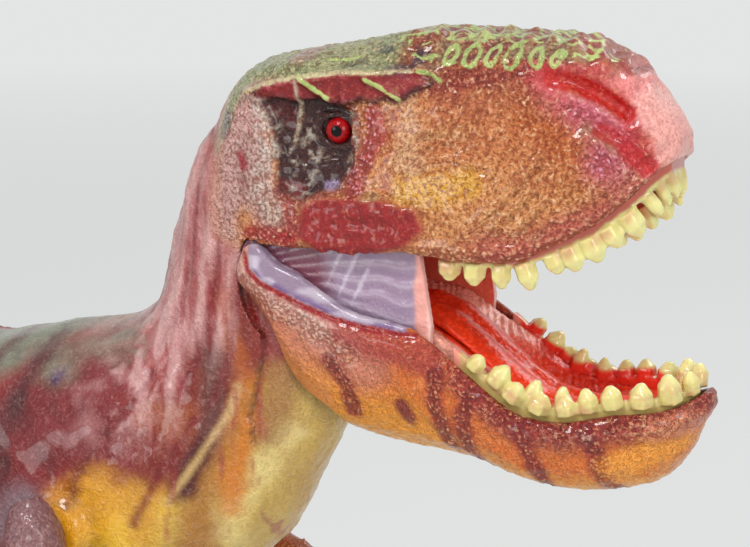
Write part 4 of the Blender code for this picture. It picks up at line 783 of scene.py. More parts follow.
    # From here on, pale pink on the neck and trunk, on raised parts, in streaks and in a fan: partly paint brushed
    # lightly on, partly painted sheen.
    rough_drop = layered(skin.place * (1.0, 0.25, 1.0), 2.6, 19)
    back_of_neck = smooth(-4, -14, f + r * 0.25) * smooth(-62, -30, f)
    neck_drybrush_and_sheen = (1 - head) * smooth(-0.3, 0.3, rough_drop) * smooth(-0.35, 0.1, relief)
    neck_drybrush_and_sheen *= smooth(-58, -34, r) * smooth(-62, -36, f)
    lean = smooth(-16, -26, r) * smooth(-24, -17, f)
    neck_drybrush_and_sheen *= 1 - 0.75 * lean
    skin.spray(neck_drybrush_and_sheen * (0.20 + 0.35 * streaks + 0.35 * back_of_neck), srgb(214, 166, 162))
    fan = near(p, ((-24, -20), (-29, -26), (-34, -33), (-38, -37)), 6.5, 5, 2.5, 185) * smooth(-0.1, 0.25, rough_drop)
    skin.spray(fan * 0.5, srgb(206, 160, 160))
    drybrush_and_sheen_streaks = smooth(0.05, 0.4, layered(skin.place * (1.0, 0.16, 1.0), 3.0, 68)) * smooth(-62, -50, f)
    drybrush_and_sheen_streaks *= smooth(-16, -26, f) * smooth(-54, -44, r) * smooth(-8, -18, r)
    skin.spray(drybrush_and_sheen_streaks * (1 - head) * 0.35, srgb(196, 146, 144))
    # Pale pink along the ridge lines: partly paint brushed lightly on, partly painted sheen.
    skin.spray(streaks * (1 - head) * 0.25 * smooth(-40, -16, r), srgb(216, 172, 166))
    red_streaks = smooth(0.25, 0.5, layered(skin.place * (1.0, 0.2, 1.0), 3.4, 20)) * smooth(-30, -22, f)
    skin.spray(red_streaks * smooth(6, -2, f) * (1 - dark) * (r < 30) * 0.55, srgb(148, 44, 56))

    green = np.full(len(p), 9.0)
    for line in (*green_lines(), *green_rings()):
        gap, _ = along_line(p, line)
        green = np.minimum(green, gap - 0.1 * (len(line[0]) == 2))
    ring_first, ring_second, _ = cells(skin.place * (1.0, 0.6, 1.0) + noise(skin.place, 4, 71)[:, None] * 0.6, 3.2, 72)
    crown = head * upward * smooth(26, 32, f) * (1 - smooth(76, 82, f)) * smooth(43.2, 44.6, r)
    crown *= 1 - smooth(42, 43, f) * smooth(71, 70, f) * smooth(49.0, 48.4, r)
    rings = (ring_second - ring_first) * 1.7 + 9 * (1 - np.clip(crown, 0, 1))
    green = np.minimum(green, rings + 0.15)
    skin.attribute("green", np.where(head > 0.3, green, 9.0))
    cream, _ = along_line(p, BROW)
    skin.attribute("cream", np.where((head > 0.3) & (f > -5) & (f < 38), cream, 9.0))
    red = np.maximum(near(p, NOSTRIL, 3.6, 3.0), near(p, SECOND_GROOVE, 2.0, 2.0))
    front = near(p, ((74, 48.5), (79, 46.5), (86, 40), (90.3, 34.5), (92.3, 30), (93, 25)), 4.0, 4)
    plain = np.clip(np.maximum(np.maximum(jugal, brow), np.maximum(red, front)), 0, 1)
    skin.attribute("drybrush_and_highlight", np.clip(0.75 * head * (1 - dark) * (1 - 0.8 * plain) + 0.12 * (1 - head), 0, 1))
    skin.attribute("wash_and_shade", np.clip(0.9 * head * (1 - 0.5 * plain) + 0.2 * (1 - head), 0, 1))
    skin.attribute("fine", np.clip(head * (1 - 0.7 * plain) + 0.28 * (1 - head), 0, 1))
    pebbled = np.maximum(near(p, ((26, 33), (26, 22), (24, 17)), 4.0, 4.0), np.maximum(snout, lip))
    pebbled = np.maximum(pebbled, smooth(14, 8, f) * smooth(-5, 1, f) * head * 0.8)
    skin.attribute("pebbly", np.clip(np.maximum(pebbled, 0.45 * head), 0, 1))
    pale = np.tile(srgb(242, 196, 152), (len(p), 1))
    pink = head * np.maximum(snout, near(p, ((27, 33), (26, 18)), 3, 3))
    pale += (srgb(232, 170, 190) - pale) * np.clip(pink, 0, 1)[:, None]
    pale += (srgb(226, 184, 176) - pale) * np.clip(1 - head + smooth(8, -2, f), 0, 1)[:, None]
    pale += (srgb(146, 124, 116) - pale) * (head * dark)[:, None]
    skin.attribute("pale", pale)
    skin.attribute("paint", deeper(skin.colour))


def deeper(colour):
    """The paint under the varnish, whose sheen makes it look paler."""
    return np.clip(np.maximum(colour - 0.016, colour * 0.4), 0, 1)


def green_rings():
    """Outlines of the oval cells along the crown's edge."""
    rings = []
    for centre, size, tall, tilt in ((44.4, 1.2, 1.9, 0.3), (49.2, 1.6, 2.3, -0.1), (53.9, 1.2, 2.0, 0.2),
                                     (58.3, 1.6, 2.4, 0.1), (63.6, 1.3, 1.9, -0.2), (68.2, 1.0, 1.5, 0.4)):
        turns = [math.radians(a) for a in range(0, 361, 30)]
        rings.append([(centre + size * math.cos(a) + tilt * math.sin(a), 46.4 + tall * math.sin(a)) for a in turns])
    return rings


def green_lines():
    """Thin neon lines over the brow and the crown."""
    return (
        *SPIKES,
        ((39.6, 42.9, 16), (47, 44.8, 14.3), (55.6, 45.8, 12.9), (63.1, 46.2, 12.1), (72, 45.9, 10.8), (79.2, 46, 6.8)),
        ((22.0, 44.8, 16), (27, 46.2, 13.5), (33.0, 46.5, 12), (40, 47.8, 10)),
        ((-5, 39.5, 14), (3, 42.5, 15), (12, 44.0, 16), (22, 44.8, 16)),
        ((72, 49.4, 3), (76, 47.6, 5), (80.5, 45.2, 5.5)),
    )


def paint_details(name):
    """The skull's skin also carries crisp green and cream lines."""
    finish = skin_material(name)
    n = Nodes(finish)
    tree = n.tree
    base = n.shader.inputs["Base Color"].links[0].from_socket
    wobble = n.noise(420, 2)
    green = n.maths("MULTIPLY_ADD", wobble, 1.1, n.value("green"))
    shade = n.mixed(n.noise(160, 2), srgb(150, 176, 92), srgb(206, 212, 134))
    colour = n.mixed(n.ranged(green, 1.15, 0.75), base, shade)
    cream = n.maths("MULTIPLY_ADD", wobble, 1.2, n.value("cream"))
    colour = n.mixed(n.ranged(cream, 1.25, 0.8, 0.0, 0.8), colour, srgb(206, 192, 148))
    tree.links.new(colour, n.shader.inputs["Base Color"])
    return finish


def skin_freedom(skin):
    """1 where the skin may be shaped, and 0 on the faces that the joints hide."""
    return smooth(0.3, 1.0, skin.blurred(1 - hidden_by_joint(skin.place, skin.normal), 3))


def settle_flanks(skin):
    """Moves the core's flanks back to their flat faces, past which the cheek webs and the jaw slide."""
    p = skin.folded
    f, r, o = p.T
    outward = skin.normal[:, 2] * np.sign(skin.place[:, 2])
    flank = (o > CORE_SIDE) & (o < CORE_SIDE + 1.4) & (outward > 0.3) & (f > -7) & (np.hypot(f, r) < 46) & (r < 21)
    skin.push(np.where(flank, (CORE_SIDE - o) / np.maximum(outward, 0.3), 0.0))


def make_body_skin(finish):
    plugs = []
    for side in (-1, 1):
        plugs.append(((side * 0.0330, *HIP[1:]), (side * 0.0352, *HIP[1:]), 0.0100))
        plugs.append(((side * 0.0314, *SHOULDER[1:]), (side * 0.0335, *SHOULDER[1:]), 0.0050))
        plugs.append(((side * 0.0100, *EYE[1:]), (side * 0.0170, *EYE[1:]), 0.0030))
        plugs.append(((side * 0.0130, *PIN[1:]), (side * 0.0166, *PIN[1:]), 0.0024))
    plugs.append(((0, TAIL_SEAM[1] - 0.003, TAIL_SEAM[2]), (0, TAIL_SEAM[1] - 0.0003, TAIL_SEAM[2]), 0.0150))
    obj = remeshed("body_skin", "body_shell", BODY_VOXEL, plugs)
    skin = Skin(obj)
    free = skin_freedom(skin)
    skin.soften(22, free)
    trunk = 1 - smooth(-45, -20, skin.place[:, 0])
    skin.push(noise(skin.place, 2.0, 40) * 0.14 * trunk * free * trunk_seats(skin))
    thinned(obj, trunk, TRUNK_SHARE)
    skin = Skin(obj)
    free = skin_freedom(skin)
    head, jugal, snout, lip = sculpt_head(skin, free)
    sculpt_neck(skin, free, head)
    skin.soften(1, free)
    settle_flanks(skin)
    paint_body(skin, head, jugal, snout, lip)
    return finished(obj, finish, "body", "painted_vinyl", "body_shell")


def finished(obj, finish, body, slot, *nodes):
    obj.data.materials.clear()
    obj.data.materials.append(finish)
    obj.data.shade_smooth()
    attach(obj, body)
    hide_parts(*nodes)
    return obj


# Jaw skin


STRIPES = (
    ((53.4, -25.5), (51.2, -31), (51.5, -36.6), (53.5, -45)),
    ((63.1, -30.5), (66.3, -39.3), (68.5, -46.5)),
    ((77.8, -31.7), (80.4, -38.3), (82.5, -46.5)),
    ((45.0, -22.0), (45.5, -30.0), (48.0, -38.5)),
    ((19.9, -21.5), (23.2, -27.1), (24.2, -33)),
)


TENDON = ((-1.5, 3.4), (3, 3.0), (10, -1), (18, -5.5), (26, -9.6), (38, -12), (38, -13.2), (28, -12.6), (20, -11.0),
          (13, -8.8), (7, -6.4), (3, -4.8), (-0.5, -2.0))
TENDON_LINE = ((-2.4, 0.5), (-1.2, -2.8), (2.6, -5.6), (7, -7.3), (13, -9.7), (20, -11.9), (28, -13.5), (40, -14.2))


def sculpt_jaw(skin, free):
    p = skin.folded
    f, r, _ = p.T
    rim = profile_at(RIM, f, 2)
    below = rim - r
    big = 0.9 * np.exp(-(((below - 3.0) / 2.2) ** 2)) * smooth(45, 56, f)
    big -= 0.6 * np.exp(-(((below - 8.0) / 2.4) ** 2)) * smooth(48, 60, f)
    big += ridge(p, ((1, -4.5), (10, -9.5), (22, -14.5), (38, -17.5)), 0.9, 3.0)
    for line in (((8, -14), (16, -24), (26, -32)), ((24, -19), (33, -25), (42, -34)), ((-2, -10), (4, -18), (12, -28))):
        big += groove(p, line, 0.45, 1.3)
    big += layered(skin.place, 9, 81) * 0.5
    warp = swirled(skin.place, 5, 83) * 0.9
    domes, own = pebbles(skin.place + warp, 2.4, 86)
    coarse = domes * (0.3 + 0.5 * own)
    stripes = 0
    for line in STRIPES:
        stripes = np.maximum(stripes, near(p, line, 2.2, 2.6, 1.0, 87))
    amount = 0.18 + 0.45 * stripes + 0.35 * smooth(7, 2, below) * smooth(44, 54, f) + 0.3 * smooth(16, 4, f)
    small, _ = pebbles(skin.place + warp * 0.6, 1.4, 88, 0.7, 0.2)
    creases = -np.abs(layered(skin.place, 4.0, 89)) ** 0.7
    tendon = within(p, TENDON, 1.6)
    big += 0.5 * tendon - 0.5 * np.exp(-((along_line(p, TENDON_LINE)[0] / 0.9) ** 2))
    fine = coarse * amount + small * 0.2 + creases * 0.3
    skin.push((big + fine * (1 - 0.85 * tendon)) * free)
    return stripes


JAW_REAR_PAINT = (
    (((-4, -6), (4, -10), (14, -16), (28, -20)), 7, 9, 3, 90, 0.85, (204, 130, 108)),
    (((-3, -2), (4, -6), (14, -11), (24, -15)), 4.5, 5, 2, 91, 0.7, (220, 176, 166)),
    (((-4, -14), (4, -22), (14, -30)), 6, 7, 2, 92, 0.5, (214, 134, 98)),
    (((24, -15), (34, -17), (44, -19)), 4.0, 4, 1.5, 98, 0.85, (176, 66, 62)),
)
JAW_SPOT_PAINT = (
    (((36.5, -30.2), (38.2, -33.3)), 1.8, 1.8, 0.6, 93, 0.9, (118, 30, 36)),
    (((84, -41), (90, -37), (95, -34)), 3.4, 4, 1.5, 94, 0.9, (240, 158, 62)),
    (((92.5, -31.3), (97.6, -29.7)), 3.0, 3, 1, 95, 0.8, (222, 134, 104)),
)


def paint_jaw(skin, stripes):
    p = skin.folded
    f, r, _ = p.T
    below = profile_at(RIM, f, 2) - r
    skin.colour[:] = srgb(214, 114, 52)
    skin.spray(smooth(11, 22, below) * 0.9, srgb(234, 152, 48))
    skin.spray(smooth(-0.35, -0.85, skin.normal[:, 1]) * 0.8, srgb(240, 166, 46))
    skin.dab(JAW_REAR_PAINT)
    skin.spray(smooth(9, 3, below) * smooth(42, 52, f) * 0.92, srgb(176, 70, 64))
    skin.spray(smooth(5, 1, below) * smooth(48, 56, f) * 0.6, srgb(134, 34, 38))
    skin.spray(stripes * 0.8, srgb(146, 44, 46))
    skin.dab(JAW_SPOT_PAINT)
    relief = skin.relief(5)
    # Crevices darkened: partly brown paint run into them, partly painted shade.
    skin.spray(smooth(-0.05, -0.32, relief) * 0.5, skin.colour * 0.42)
    # Pale on the raised parts: partly paint brushed lightly on, partly painted highlight.
    skin.spray(smooth(0.1, 0.35, relief) * 0.35, srgb(238, 186, 140))
    grey = near(p, ((-4, -6), (4, -10), (16, -15), (24, -20)), 3.6, 4, 1.5, 96)
    skin.spray(grey * smooth(0.0, 0.22, relief) * 0.7, srgb(214, 200, 194))
    tendon = within(p, TENDON, 0.8, 0.3, 99)
    skin.spray(near(p, TENDON_LINE, 0.7, 0.8, 0.3, 80), srgb(164, 30, 44))
    skin.spray(tendon, srgb(144, 124, 144))
    skin.spray(tendon * near(p, TENDON_LINE[1:], 1.7, 1.6, 0.4, 79), srgb(118, 90, 142))
    skin.spray(tendon * smooth(-0.1, 0.4, noise(skin.place * (0.35, 1, 1), 1.6, 82)) * 0.6, srgb(204, 192, 204))
    # Pale pink on the raised parts along the lower lip's front: painted highlight.
    gloss = near(p, ((58, -31), (64, -34), (74, -35), (84, -33)), 2.4, 2.4, 0.8, 97)
    skin.spray(gloss * smooth(0.12, 0.3, relief) * 0.5, srgb(206, 180, 182))
    ones = np.ones(len(p))
    busy = np.maximum(np.maximum(stripes, smooth(9, 4, below) * smooth(40, 50, f)), np.maximum(grey, 0.35))
    skin.attribute("drybrush_and_highlight", 0.6 * busy * (1 - tendon))
    skin.attribute("wash_and_shade", 0.85 * busy * (1 - tendon))
    skin.attribute("fine", (ones - 0.8 * tendon) * (0.4 + 0.6 * busy))
    skin.attribute("pebbly", np.clip(np.maximum(stripes, grey), 0, 1))
    skin.attribute("pale", np.tile(srgb(236, 180, 130), (len(p), 1)))
    skin.attribute("paint", deeper(skin.colour))


def make_jaw_skin(finish):
    obj = remeshed("jaw_skin", "jaw_shell", JAW_VOXEL)
    skin = Skin(obj)
    p, normal = skin.place, skin.normal
    f, r, o = p[:, 0], p[:, 1], np.abs(p[:, 2])
    half = profile_at(RIM, f, 1)
    outside = (o > half * 0.80) & (np.abs(normal[:, 2]) > 0.35) & (np.sign(normal[:, 2]) == np.sign(p[:, 2]))
    under = (normal[:, 1] < -0.25) & (r < profile_at(RIM, f, 2) - 6)
    front = (normal[:, 0] > 0.35) & (f > 88)
    free = (outside | under | front).astype(float)
    free = np.where((f < 17.5) & (o < 21.0), 0.0, free)
    free = smooth(0.35, 1.0, skin.blurred(free, 3))
    skin.soften(22, free)
    stripes = sculpt_jaw(skin, free)
    skin.soften(1, free)
    paint_jaw(skin, stripes)
    return finished(obj, finish, "jaw", "painted_jaw_vinyl", "jaw_shell")


# Limbs and tail


def sculpt_limb(skin, free, size, seed, height):
    warp = swirled(skin.place, size * 2.2, seed) * size * 0.35
    scales, _ = pebbles(skin.place + warp, size, seed + 5, 0.8, 0.2)
    creases = layered(skin.place, size * 2.6, seed + 6)
    skin.push((scales * height + creases * height * 0.9) * free)


def finish_limb(skin, pale_share):
    relief = skin.relief(4)
    # Crevices darkened: partly brown paint run into them, partly painted shade.
    skin.spray(smooth(-0.04, -0.25, relief) * 0.5, skin.colour * 0.42)
    # Pale on the raised parts: partly paint brushed lightly on, partly painted highlight.
    skin.spray(smooth(0.05, 0.28, relief) * pale_share, srgb(214, 160, 146))
    ones = np.ones(len(skin.place))
    skin.attribute("drybrush_and_highlight", ones * 0.35)
    skin.attribute("wash_and_shade", ones * 0.6)
    skin.attribute("fine", ones * 0.6)
    skin.attribute("pebbly", ones * 0.5)
    skin.attribute("pale", np.tile(srgb(222, 168, 150), (len(ones), 1)))
    skin.attribute("paint", deeper(skin.colour))


def make_tail(finish):
    bore = ((0, TAIL_SEAM[1] - 0.0040, TAIL_SEAM[2]), (0, TAIL_SEAM[1] + 0.030, TAIL_SEAM[2]), 0.0125)
    skin = Skin(remeshed("tail_skin", "tail", TAIL_VOXEL, [bore]))
    p = skin.folded
    f, _, _ = p.T
    free = smooth(-180.2, -182.5, f)
    skin.soften(12, free)
    sculpt_limb(skin, free, 4.2, 101, 0.5)
    skin.colour[:] = srgb(144, 56, 54)
    belly = smooth(0.0, -0.7, skin.normal[:, 1])
    skin.spray(belly * 0.9, srgb(208, 148, 60))
    back = smooth(0.5, 0.95, skin.normal[:, 1] + 0.25 * noise(skin.place, 11, 15))
    skin.spray(back * 0.9, srgb(128, 136, 112))
    for k in range(14):
        centre = -190 - 14.5 * k
        line = ((centre, -30), (centre - 4, -75), (centre - 2, -110), (centre - 2, -140))
        reach = 2.4 - 0.08 * k
        skin.spray(near(p, line, reach, 3.0, 1.4, 110 + k) * 0.75 * (1 - belly * 0.6), srgb(92, 26, 34))
    finish_limb(skin, 0.45)
    return finished(skin.obj, finish, "tail", "painted_vinyl", "tail")


def make_leg(side, finish):
    name = "left" if side > 0 else "right"
    bore = ((side * 0.0305, *HIP[1:]), (side * 0.0560, *HIP[1:]), 0.0080)
    skin = Skin(remeshed("leg_skin_" + name, "leg_" + name, LEG_VOXEL, [bore]))
    p = skin.folded
    f, r, o = p.T
    height = r + HINGE_HEIGHT
    free = smooth(36.2, 37.2, o) * smooth(0.5, 1.5, height)
    skin.soften(10, free)
    claws = claw_mask(skin)
    sculpt_limb(skin, free * (1 - claws), 3.6, 121, 0.5)
    skin.colour[:] = srgb(144, 54, 52)
    skin.spray(smooth(-95, -85, f) * smooth(60, 110, height) * 0.4, srgb(196, 120, 50))
    skin.spray(smooth(0.25, -0.8, skin.normal[:, 0]) * smooth(40, 90, height) * 0.3, srgb(118, 40, 46))
    skin.spray(smooth(62, 20, height) * 0.75, srgb(188, 112, 56))
    for k in range(6):
        level = 148 - 17 * k
        line = ((-150, level - HINGE_HEIGHT + 4), (-118, level - HINGE_HEIGHT - 3), (-88, level - HINGE_HEIGHT + 2))
        skin.spray(near(p, line, 2.0, 3.0, 2.0, 130 + k) * 0.65, srgb(92, 26, 34))
    finish_limb(skin, 0.45)
    paint = skin.mesh.attributes["paint"]
    skin.colour += (srgb(206, 196, 146) - skin.colour) * claws[:, None]
    full = np.concatenate((skin.colour, np.ones((len(p), 1))), axis=1)
    paint.data.foreach_set("color", full.astype(np.float32).ravel())
    return finished(skin.obj, finish, "leg_" + name, "painted_vinyl", "leg_" + name)


def claw_mask(skin):
    """The tips of the toes, found by how far they lie from the ankle along the floor."""
    p = skin.folded
    height = p[:, 1] + HINGE_HEIGHT
    reach = np.hypot(p[:, 0] + 107, (p[:, 2] - 51.5))
    return smooth(50.5, 52.5, reach) * smooth(14, 11, height)


def make_arm(side, finish):
    name = "left" if side > 0 else "right"
    bore = ((side * 0.0290, *SHOULDER[1:]), (side * 0.0405, *SHOULDER[1:]), 0.0036)
    skin = Skin(remeshed("arm_skin_" + name, "arm_" + name, ARM_VOXEL, [bore]))
    p = skin.folded
    free = smooth(34.3, 35.2, p[:, 2])
    skin.soften(8, free)
    claws = smooth(-91.5, -93.0, p[:, 1] + 0.25 * (p[:, 0] + 25)) * smooth(-29, -27, p[:, 0])
    sculpt_limb(skin, free * (1 - claws), 2.4, 141, 0.32)
    skin.colour[:] = srgb(142, 50, 50)
    skin.spray(smooth(-60, -35, p[:, 0]) * 0.6, srgb(190, 112, 56))
    skin.spray(smooth(-78, -66, p[:, 1] + noise(p, 5, 149) * 3) * 0.7, srgb(138, 116, 124))
    finish_limb(skin, 0.45)
    return finished(skin.obj, finish, "arm_" + name, "painted_vinyl", "arm_" + name)


# Teeth, mouth and eyes


def tooth_material():
    """Glossy, slightly clear yellow-green vinyl, with a pinkish cloud inside and pale edges."""
    finish = new_material("tooth_vinyl_glossy", 0.18, coat=0.7, coat_roughness=0.05, subsurface=0.3)
    n = Nodes(finish)
    cloudy = n.noise(260, 3)
    colour = n.mixed(n.ranged(cloudy, 0.38, 0.66), (*srgb(214, 200, 126), 1.0), (*srgb(204, 160, 112), 1.0))
    colour = n.mixed(n.value("tip"), colour, srgb(232, 228, 156))
    colour = n.mixed(n.value("root"), colour, n.colour("gum"))
    n.set_input(n.shader.inputs["Base Color"], colour)
    n.bump(n.noise(800, 3), 0.00015)
    return finish


def make_teeth(name, node, body, finish, table, up):
    """Teeth with lumpy sides, whose roots are painted like the lip or rim that they stand on."""
    skin = Skin(remeshed(name, node, TEETH_VOXEL))
    skin.soften(6)
    p = skin.folded
    f, r, _ = p.T
    over = (r - profile_at(table, f, 2)) * up
    crown = smooth(1.5, 3.0, over)
    skin.push(layered(skin.place, 2.6, 151) * 0.3 * crown + 0.12 * crown)
    relief = skin.relief(10)
    edges = np.clip(1 - np.abs(skin.normal[:, 2]) ** 2, 0, 1) * 0.4
    if up > 0:
        gum = np.tile(srgb(196, 172, 104), (len(p), 1))
        inner = smooth(0.1, -0.3, skin.normal[:, 2] * np.sign(skin.place[:, 2])) * smooth(92, 86, f)
        height = 0.3 + 3.6 * inner
        root = 1 - smooth(height, height + 1.2, over + layered(skin.place, 2.0, 152) * 0.5)
        gum += (srgb(232, 58, 40) - gum) * inner[:, None]
        start = smooth(50.6, 49.0, f)
        gum += (srgb(232, 150, 132) - gum) * start[:, None]
        root = np.maximum(root, start)
    else:
        gum = np.tile(srgb(186, 92, 74), (len(p), 1))
        root = 1 - smooth(1.3, 2.3, over + layered(skin.place, 2.0, 152) * 0.5)
    skin.attribute("root", np.clip(root, 0, 1))
    skin.attribute("gum", gum)
    skin.attribute("tip", np.clip(smooth(3.6, 6.4, over) * 0.6 + edges + relief * 2.0, 0, 1))
    return finished(skin.obj, finish, body, "tooth_vinyl", node)


def mouth_material():
    """Wet red vinyl with tiny lumps."""
    finish = new_material("red_vinyl_ribbed", 0.3, coat=0.35, coat_roughness=0.1, subsurface=0.08)
    n = Nodes(finish)
    lumps = n.cells(900, n.warped(300, 0.002))
    height = n.maths("MULTIPLY_ADD", n.ranged(lumps, 0.8, 0.0), 0.5, n.maths("MULTIPLY", n.noise(1500, 3), 0.4))
    n.bump(height, 0.00025)
    shade = n.ranged(height, 0.55, 0.15, 0.0, 0.35)
    n.set_input(n.shader.inputs["Base Color"], n.mixed(shade, n.colour("paint"), srgb(130, 10, 8)))
    return finish


def make_mouth(name, node, body, finish, rib, pitch, swell=0.0):
    """A mouth insert with cross ribs on its raised parts, crimson at its sides and orange-red in the middle."""
    skin = Skin(remeshed(name, node, MOUTH_VOXEL))
    skin.soften(4)
    p = skin.folded
    f, _, o = p.T
    facing = smooth(0.3, 0.8, np.abs(skin.normal[:, 1]))
    phase = f + o * 0.45 + noise(skin.place, 6, 160) * 0.7
    ribs = np.cos(2 * math.pi * phase / pitch)
    sides = smooth(8, 14, o + noise(skin.place, 5, 162) * 1.2)
    wander = smooth(-0.6, 0.6, noise(skin.place, 4, 163))
    upper = smooth(0.2, 0.6, skin.normal[:, 1])
    skin.push(swell * smooth(9.5, 12.5, o) * smooth(46, 54, f) * smooth(92, 84, f) * upper)
    skin.push((ribs * rib * wander * (0.3 + 0.7 * sides) + layered(skin.place, 2.4, 161) * 0.2) * facing)
    skin.colour[:] = srgb(240, 66, 28)
    skin.spray(sides * 0.6, srgb(230, 48, 40))
    # Darker red in the rib grooves: painted shade.
    skin.spray(smooth(-0.1, -0.9, ribs) * 0.2 * wander * (0.3 + sides), srgb(160, 20, 16))
    skin.spray(smooth(60, 46, f) * smooth(9, 13, o), srgb(255, 182, 160))
    skin.attribute("paint", np.clip(skin.colour, 0, 1))
    return finished(skin.obj, finish, body, "red_vinyl", node)


def make_web(side, finish):
    name = "left" if side > 0 else "right"
    skin = Skin(remeshed("cheek_web_ribbed_" + name, "cheek_web_" + name, WEB_VOXEL))
    skin.soften(3)
    p = skin.folded
    f, r, _ = p.T
    facing = smooth(0.6, 0.9, np.abs(skin.normal[:, 2]))
    fan = np.arctan2(r + 4 - f * 0.02, f + 14)
    ribs = np.cos(2 * math.pi * fan / 0.078 + noise(skin.place, 6, 171) * 1.6)
    skin.push((ribs * 0.09 - 0.22 + noise(skin.place, 2.0, 172) * 0.05) * facing)
    skin.colour[:] = srgb(156, 132, 154)
    # Darker violet in the rib grooves is painted shade, paler lilac on the rib crests painted highlight.
    skin.spray(smooth(0.2, -0.9, ribs) * 0.3, srgb(128, 104, 134))
    skin.spray(smooth(0.6, 1.0, ribs) * 0.3, srgb(206, 192, 208))
    for k, slant in enumerate((((21, 3), (17.5, -5)), ((25.5, 3.6), (20.4, -7)), ((27.5, -1), (24, -8)))):
        skin.spray(near(p, slant, 0.35, 0.9, 0.6, 174 + k) * 0.6, srgb(216, 204, 218))
    skin.spray(smooth(14, 6, f) * 0.4, srgb(150, 132, 176))
    skin.spray(smooth(38.2, 39.6, f + noise(skin.place, 4, 173) * 0.4), srgb(226, 158, 146))
    skin.spray(smooth(41.4, 42.6, f), srgb(240, 190, 180))
    # Dark maroon over the web's rear part: partly dark red paint, partly painted shadow under the cheek's lobes.
    skin.spray(smooth(21, 14, f + noise(skin.place, 3, 180)) * 0.85, srgb(116, 48, 62))
    # Salmon-red on the faces inside the mouth: their own paint, made brighter as painted light against the mouth's
    # shade.
    inner = smooth(-0.3, -0.7, skin.normal[:, 2] * side) * smooth(20, 26, f)
    skin.spray(inner, srgb(244, 120, 96))
    skin.attribute("paint", np.clip(skin.colour, 0, 1))
    return finished(skin.obj, finish, "jaw", "purple_vinyl", "cheek_web_" + name)


def web_material():
    finish = new_material("purple_vinyl_ribbed", 0.3, coat=0.5, coat_roughness=0.1, subsurface=0.05)
    n = Nodes(finish)
    grain = n.noise(1100, 3)
    n.bump(grain, 0.0003)
    colour = n.colour("paint")
    colour = n.mixed(n.ranged(grain, 0.62, 0.8, 0.0, 0.5), colour, srgb(226, 216, 228))
    n.set_input(n.shader.inputs["Base Color"], colour)
    return finish


def eye_material():
    finish = new_material("eye_plastic_glossy", 0.22, coat=0.3, coat_roughness=0.03)
    finish.node_tree.nodes["Principled BSDF"].inputs["Specular IOR Level"].default_value = 0.08
    n = Nodes(finish)
    ring = n.value("ring")
    streaks = n.noise(1800, 3)
    iris = n.mixed(n.ranged(streaks, 0.3, 0.7), (*srgb(176, 8, 16), 1.0), (*srgb(118, 4, 10), 1.0))
    colour = n.mixed(n.ranged(ring, 0.46, 0.38), iris, srgb(8, 4, 5))
    colour = n.mixed(n.ranged(ring, 0.86, 1.0), colour, srgb(60, 6, 10))
    n.set_input(n.shader.inputs["Base Color"], colour)
    return finish


def make_eye(side, finish):
    """A ball of which the socket shows the front."""
    name = "left" if side > 0 else "right"
    built = bmesh.new()
    bmesh.ops.create_icosphere(built, subdivisions=5, radius=1.0)
    low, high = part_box("eye_" + name)
    middle = (low + high) / 2
    radius = (high.z - low.z) / 2
    radius -= 0.0006
    tip = (high.x if side > 0 else low.x) - side * 0.0011
    seat = Vector((tip - side * radius * 0.8, middle.y, middle.z))
    for v in built.verts:
        v.co = seat + Vector((v.co.x * radius * 0.8, v.co.y * radius, v.co.z * radius))
    obj = from_bmesh("eye_ball_" + name, built)
    skin = Skin(obj)
    forward = -(middle.y / MM) - HINGE_FORWARD
    rise = middle.z / MM - HINGE_HEIGHT
    gap = np.hypot(skin.place[:, 0] - forward - 0.5, skin.place[:, 1] - rise) / (radius / MM)
    skin.attribute("ring", gap)
    return finished(obj, finish, "body", "eye_plastic", "eye_" + name)


# Floor, lights and camera


def seen_rays(n):
    """1 for the rays that the camera, a glossy surface or a clear one sends out."""
    path = n.tree.nodes.new("ShaderNodeLightPath").outputs
    either = n.maths("MAXIMUM", path["Is Camera Ray"], path["Is Glossy Ray"])
    return n.maths("MAXIMUM", either, path["Is Transmission Ray"])


def make_stage():
    """A pale floor. To the camera it is mostly its own plain colour, so that it meets the background."""
    finish = bpy.data.materials.new("studio_floor")
    finish.use_nodes = True
    n = Nodes(finish)
    for name, setting in (("Base Color", (*srgb(232, 233, 232), 1.0)), ("Roughness", 0.9), ("Specular IOR Level", 0.0)):
        n.shader.inputs[name].default_value = setting
    plain = n.add("Emission", "Emission", (("Color", (*BACKGROUND, 1.0)),))
    reach = n.add("VectorMath", "Value", ((0, n.coordinates),), operation="LENGTH")
    plainness = n.ranged(reach, 0.5, 2.5, 0.6, 1.0, "LINEAR")
    share = n.maths("MULTIPLY", seen_rays(n), plainness)
    mixed = n.add("MixShader", "Shader", (("Fac", share), (1, n.shader.outputs["BSDF"]), (2, plain)))
    n.tree.links.new(mixed, n.tree.nodes["Material Output"].inputs["Surface"])
    built = bmesh.new()
    corners = ((-FLOOR_REACH, -FLOOR_REACH), (FLOOR_REACH, -FLOOR_REACH), (FLOOR_REACH, FLOOR_REACH),
               (-FLOOR_REACH, FLOOR_REACH))
    built.faces.new([built.verts.new((x, y, 0.0)) for x, y in corners])
    floor = from_bmesh("studio_floor", built)
    floor.data.materials.append(finish)


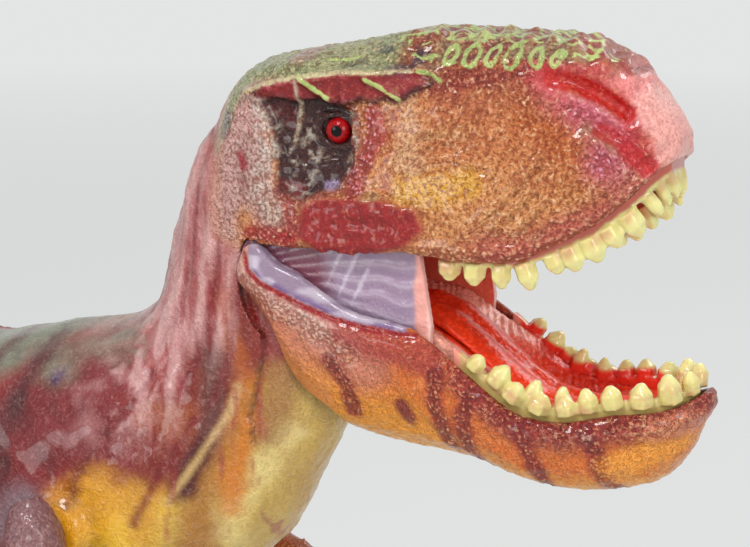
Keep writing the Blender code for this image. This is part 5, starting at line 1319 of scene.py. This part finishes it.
def make_world():
    """An even white dome. The camera, glossy surfaces and clear ones see the pale background instead."""
    world = bpy.data.worlds.new("studio")
    bpy.context.scene.world = world
    world.use_nodes = True
    n = Nodes(world)
    dome = n.tree.nodes["Background"]
    dome.inputs["Color"].default_value = (1.0, 1.0, 1.0, 1.0)
    dome.inputs["Strength"].default_value = DOME_STRENGTH
    seen = n.add("Background", "Background", (("Color", (*BACKGROUND, 1.0)), ("Strength", 1.0)))
    mixed = n.add("MixShader", "Shader", (("Fac", seen_rays(n)), (1, dome.outputs["Background"]), (2, seen)))
    n.tree.links.new(mixed, n.tree.nodes["World Output"].inputs["Surface"])


def add_lamp(name, place, size, power):
    light = bpy.data.lights.new(name, "AREA")
    light.shape = "DISK"
    light.size = size
    light.energy = power
    lamp = linked(bpy.data.objects.new(name, light))
    lamp.location = place
    lamp.rotation_euler = (Vector(LAMP_TARGET) - Vector(place)).to_track_quat("-Z", "Y").to_euler()


def make_camera():
    data = bpy.data.cameras.new("camera")
    data.lens = CAMERA_LENS
    data.sensor_width = 36
    camera = linked(bpy.data.objects.new("camera", data))
    camera.location = CAMERA_PLACE
    camera.rotation_euler = Vector(CAMERA_BACK).to_track_quat("Z", "Y").to_euler()
    bpy.context.scene.camera = camera


def main():
    make_camera()
    make_world()
    make_stage()
    for lamp in LAMPS:
        add_lamp(*lamp)
    bpy.context.scene.view_settings.view_transform = "Standard"

    vinyl = skin_material("painted_vinyl_skin")
    make_body_skin(paint_details("painted_vinyl_head"))
    make_jaw_skin(vinyl)
    make_tail(vinyl)
    for side in (-1, 1):
        make_leg(side, vinyl)
        make_arm(side, vinyl)
    ivory = tooth_material()
    make_teeth("upper_teeth_row", "upper_teeth", "body", ivory, LIP, -1)
    make_teeth("lower_teeth_row", "lower_teeth", "jaw", ivory, RIM, 1)
    red = mouth_material()
    make_mouth("palate_ridged", "palate", "body", red, 0.3, 3.4)
    make_mouth("mouth_floor_ribbed", "mouth_floor", "jaw", red, 0.22, 1.9, 1.8)
    make_mouth("tongue_ribbed", "tongue", "jaw", red, 0.12, 1.9)
    web = web_material()
    eye = eye_material()
    for side in (-1, 1):
        make_web(side, web)
        make_eye(side, eye)
    steel = new_material("brushed_steel_pin", 0.3, metallic=1.0)
    n = Nodes(steel)
    brushed = n.noise(900, 3, stretch=(0.05, 1.0, 1.0))
    steel_colour = n.mixed(brushed, (0.45, 0.45, 0.47, 1.0), (0.68, 0.68, 0.70, 1.0))
    n.set_input(n.shader.inputs["Base Color"], steel_colour)
    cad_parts["jaw_pin"].material_slots[0].material = steel


main()
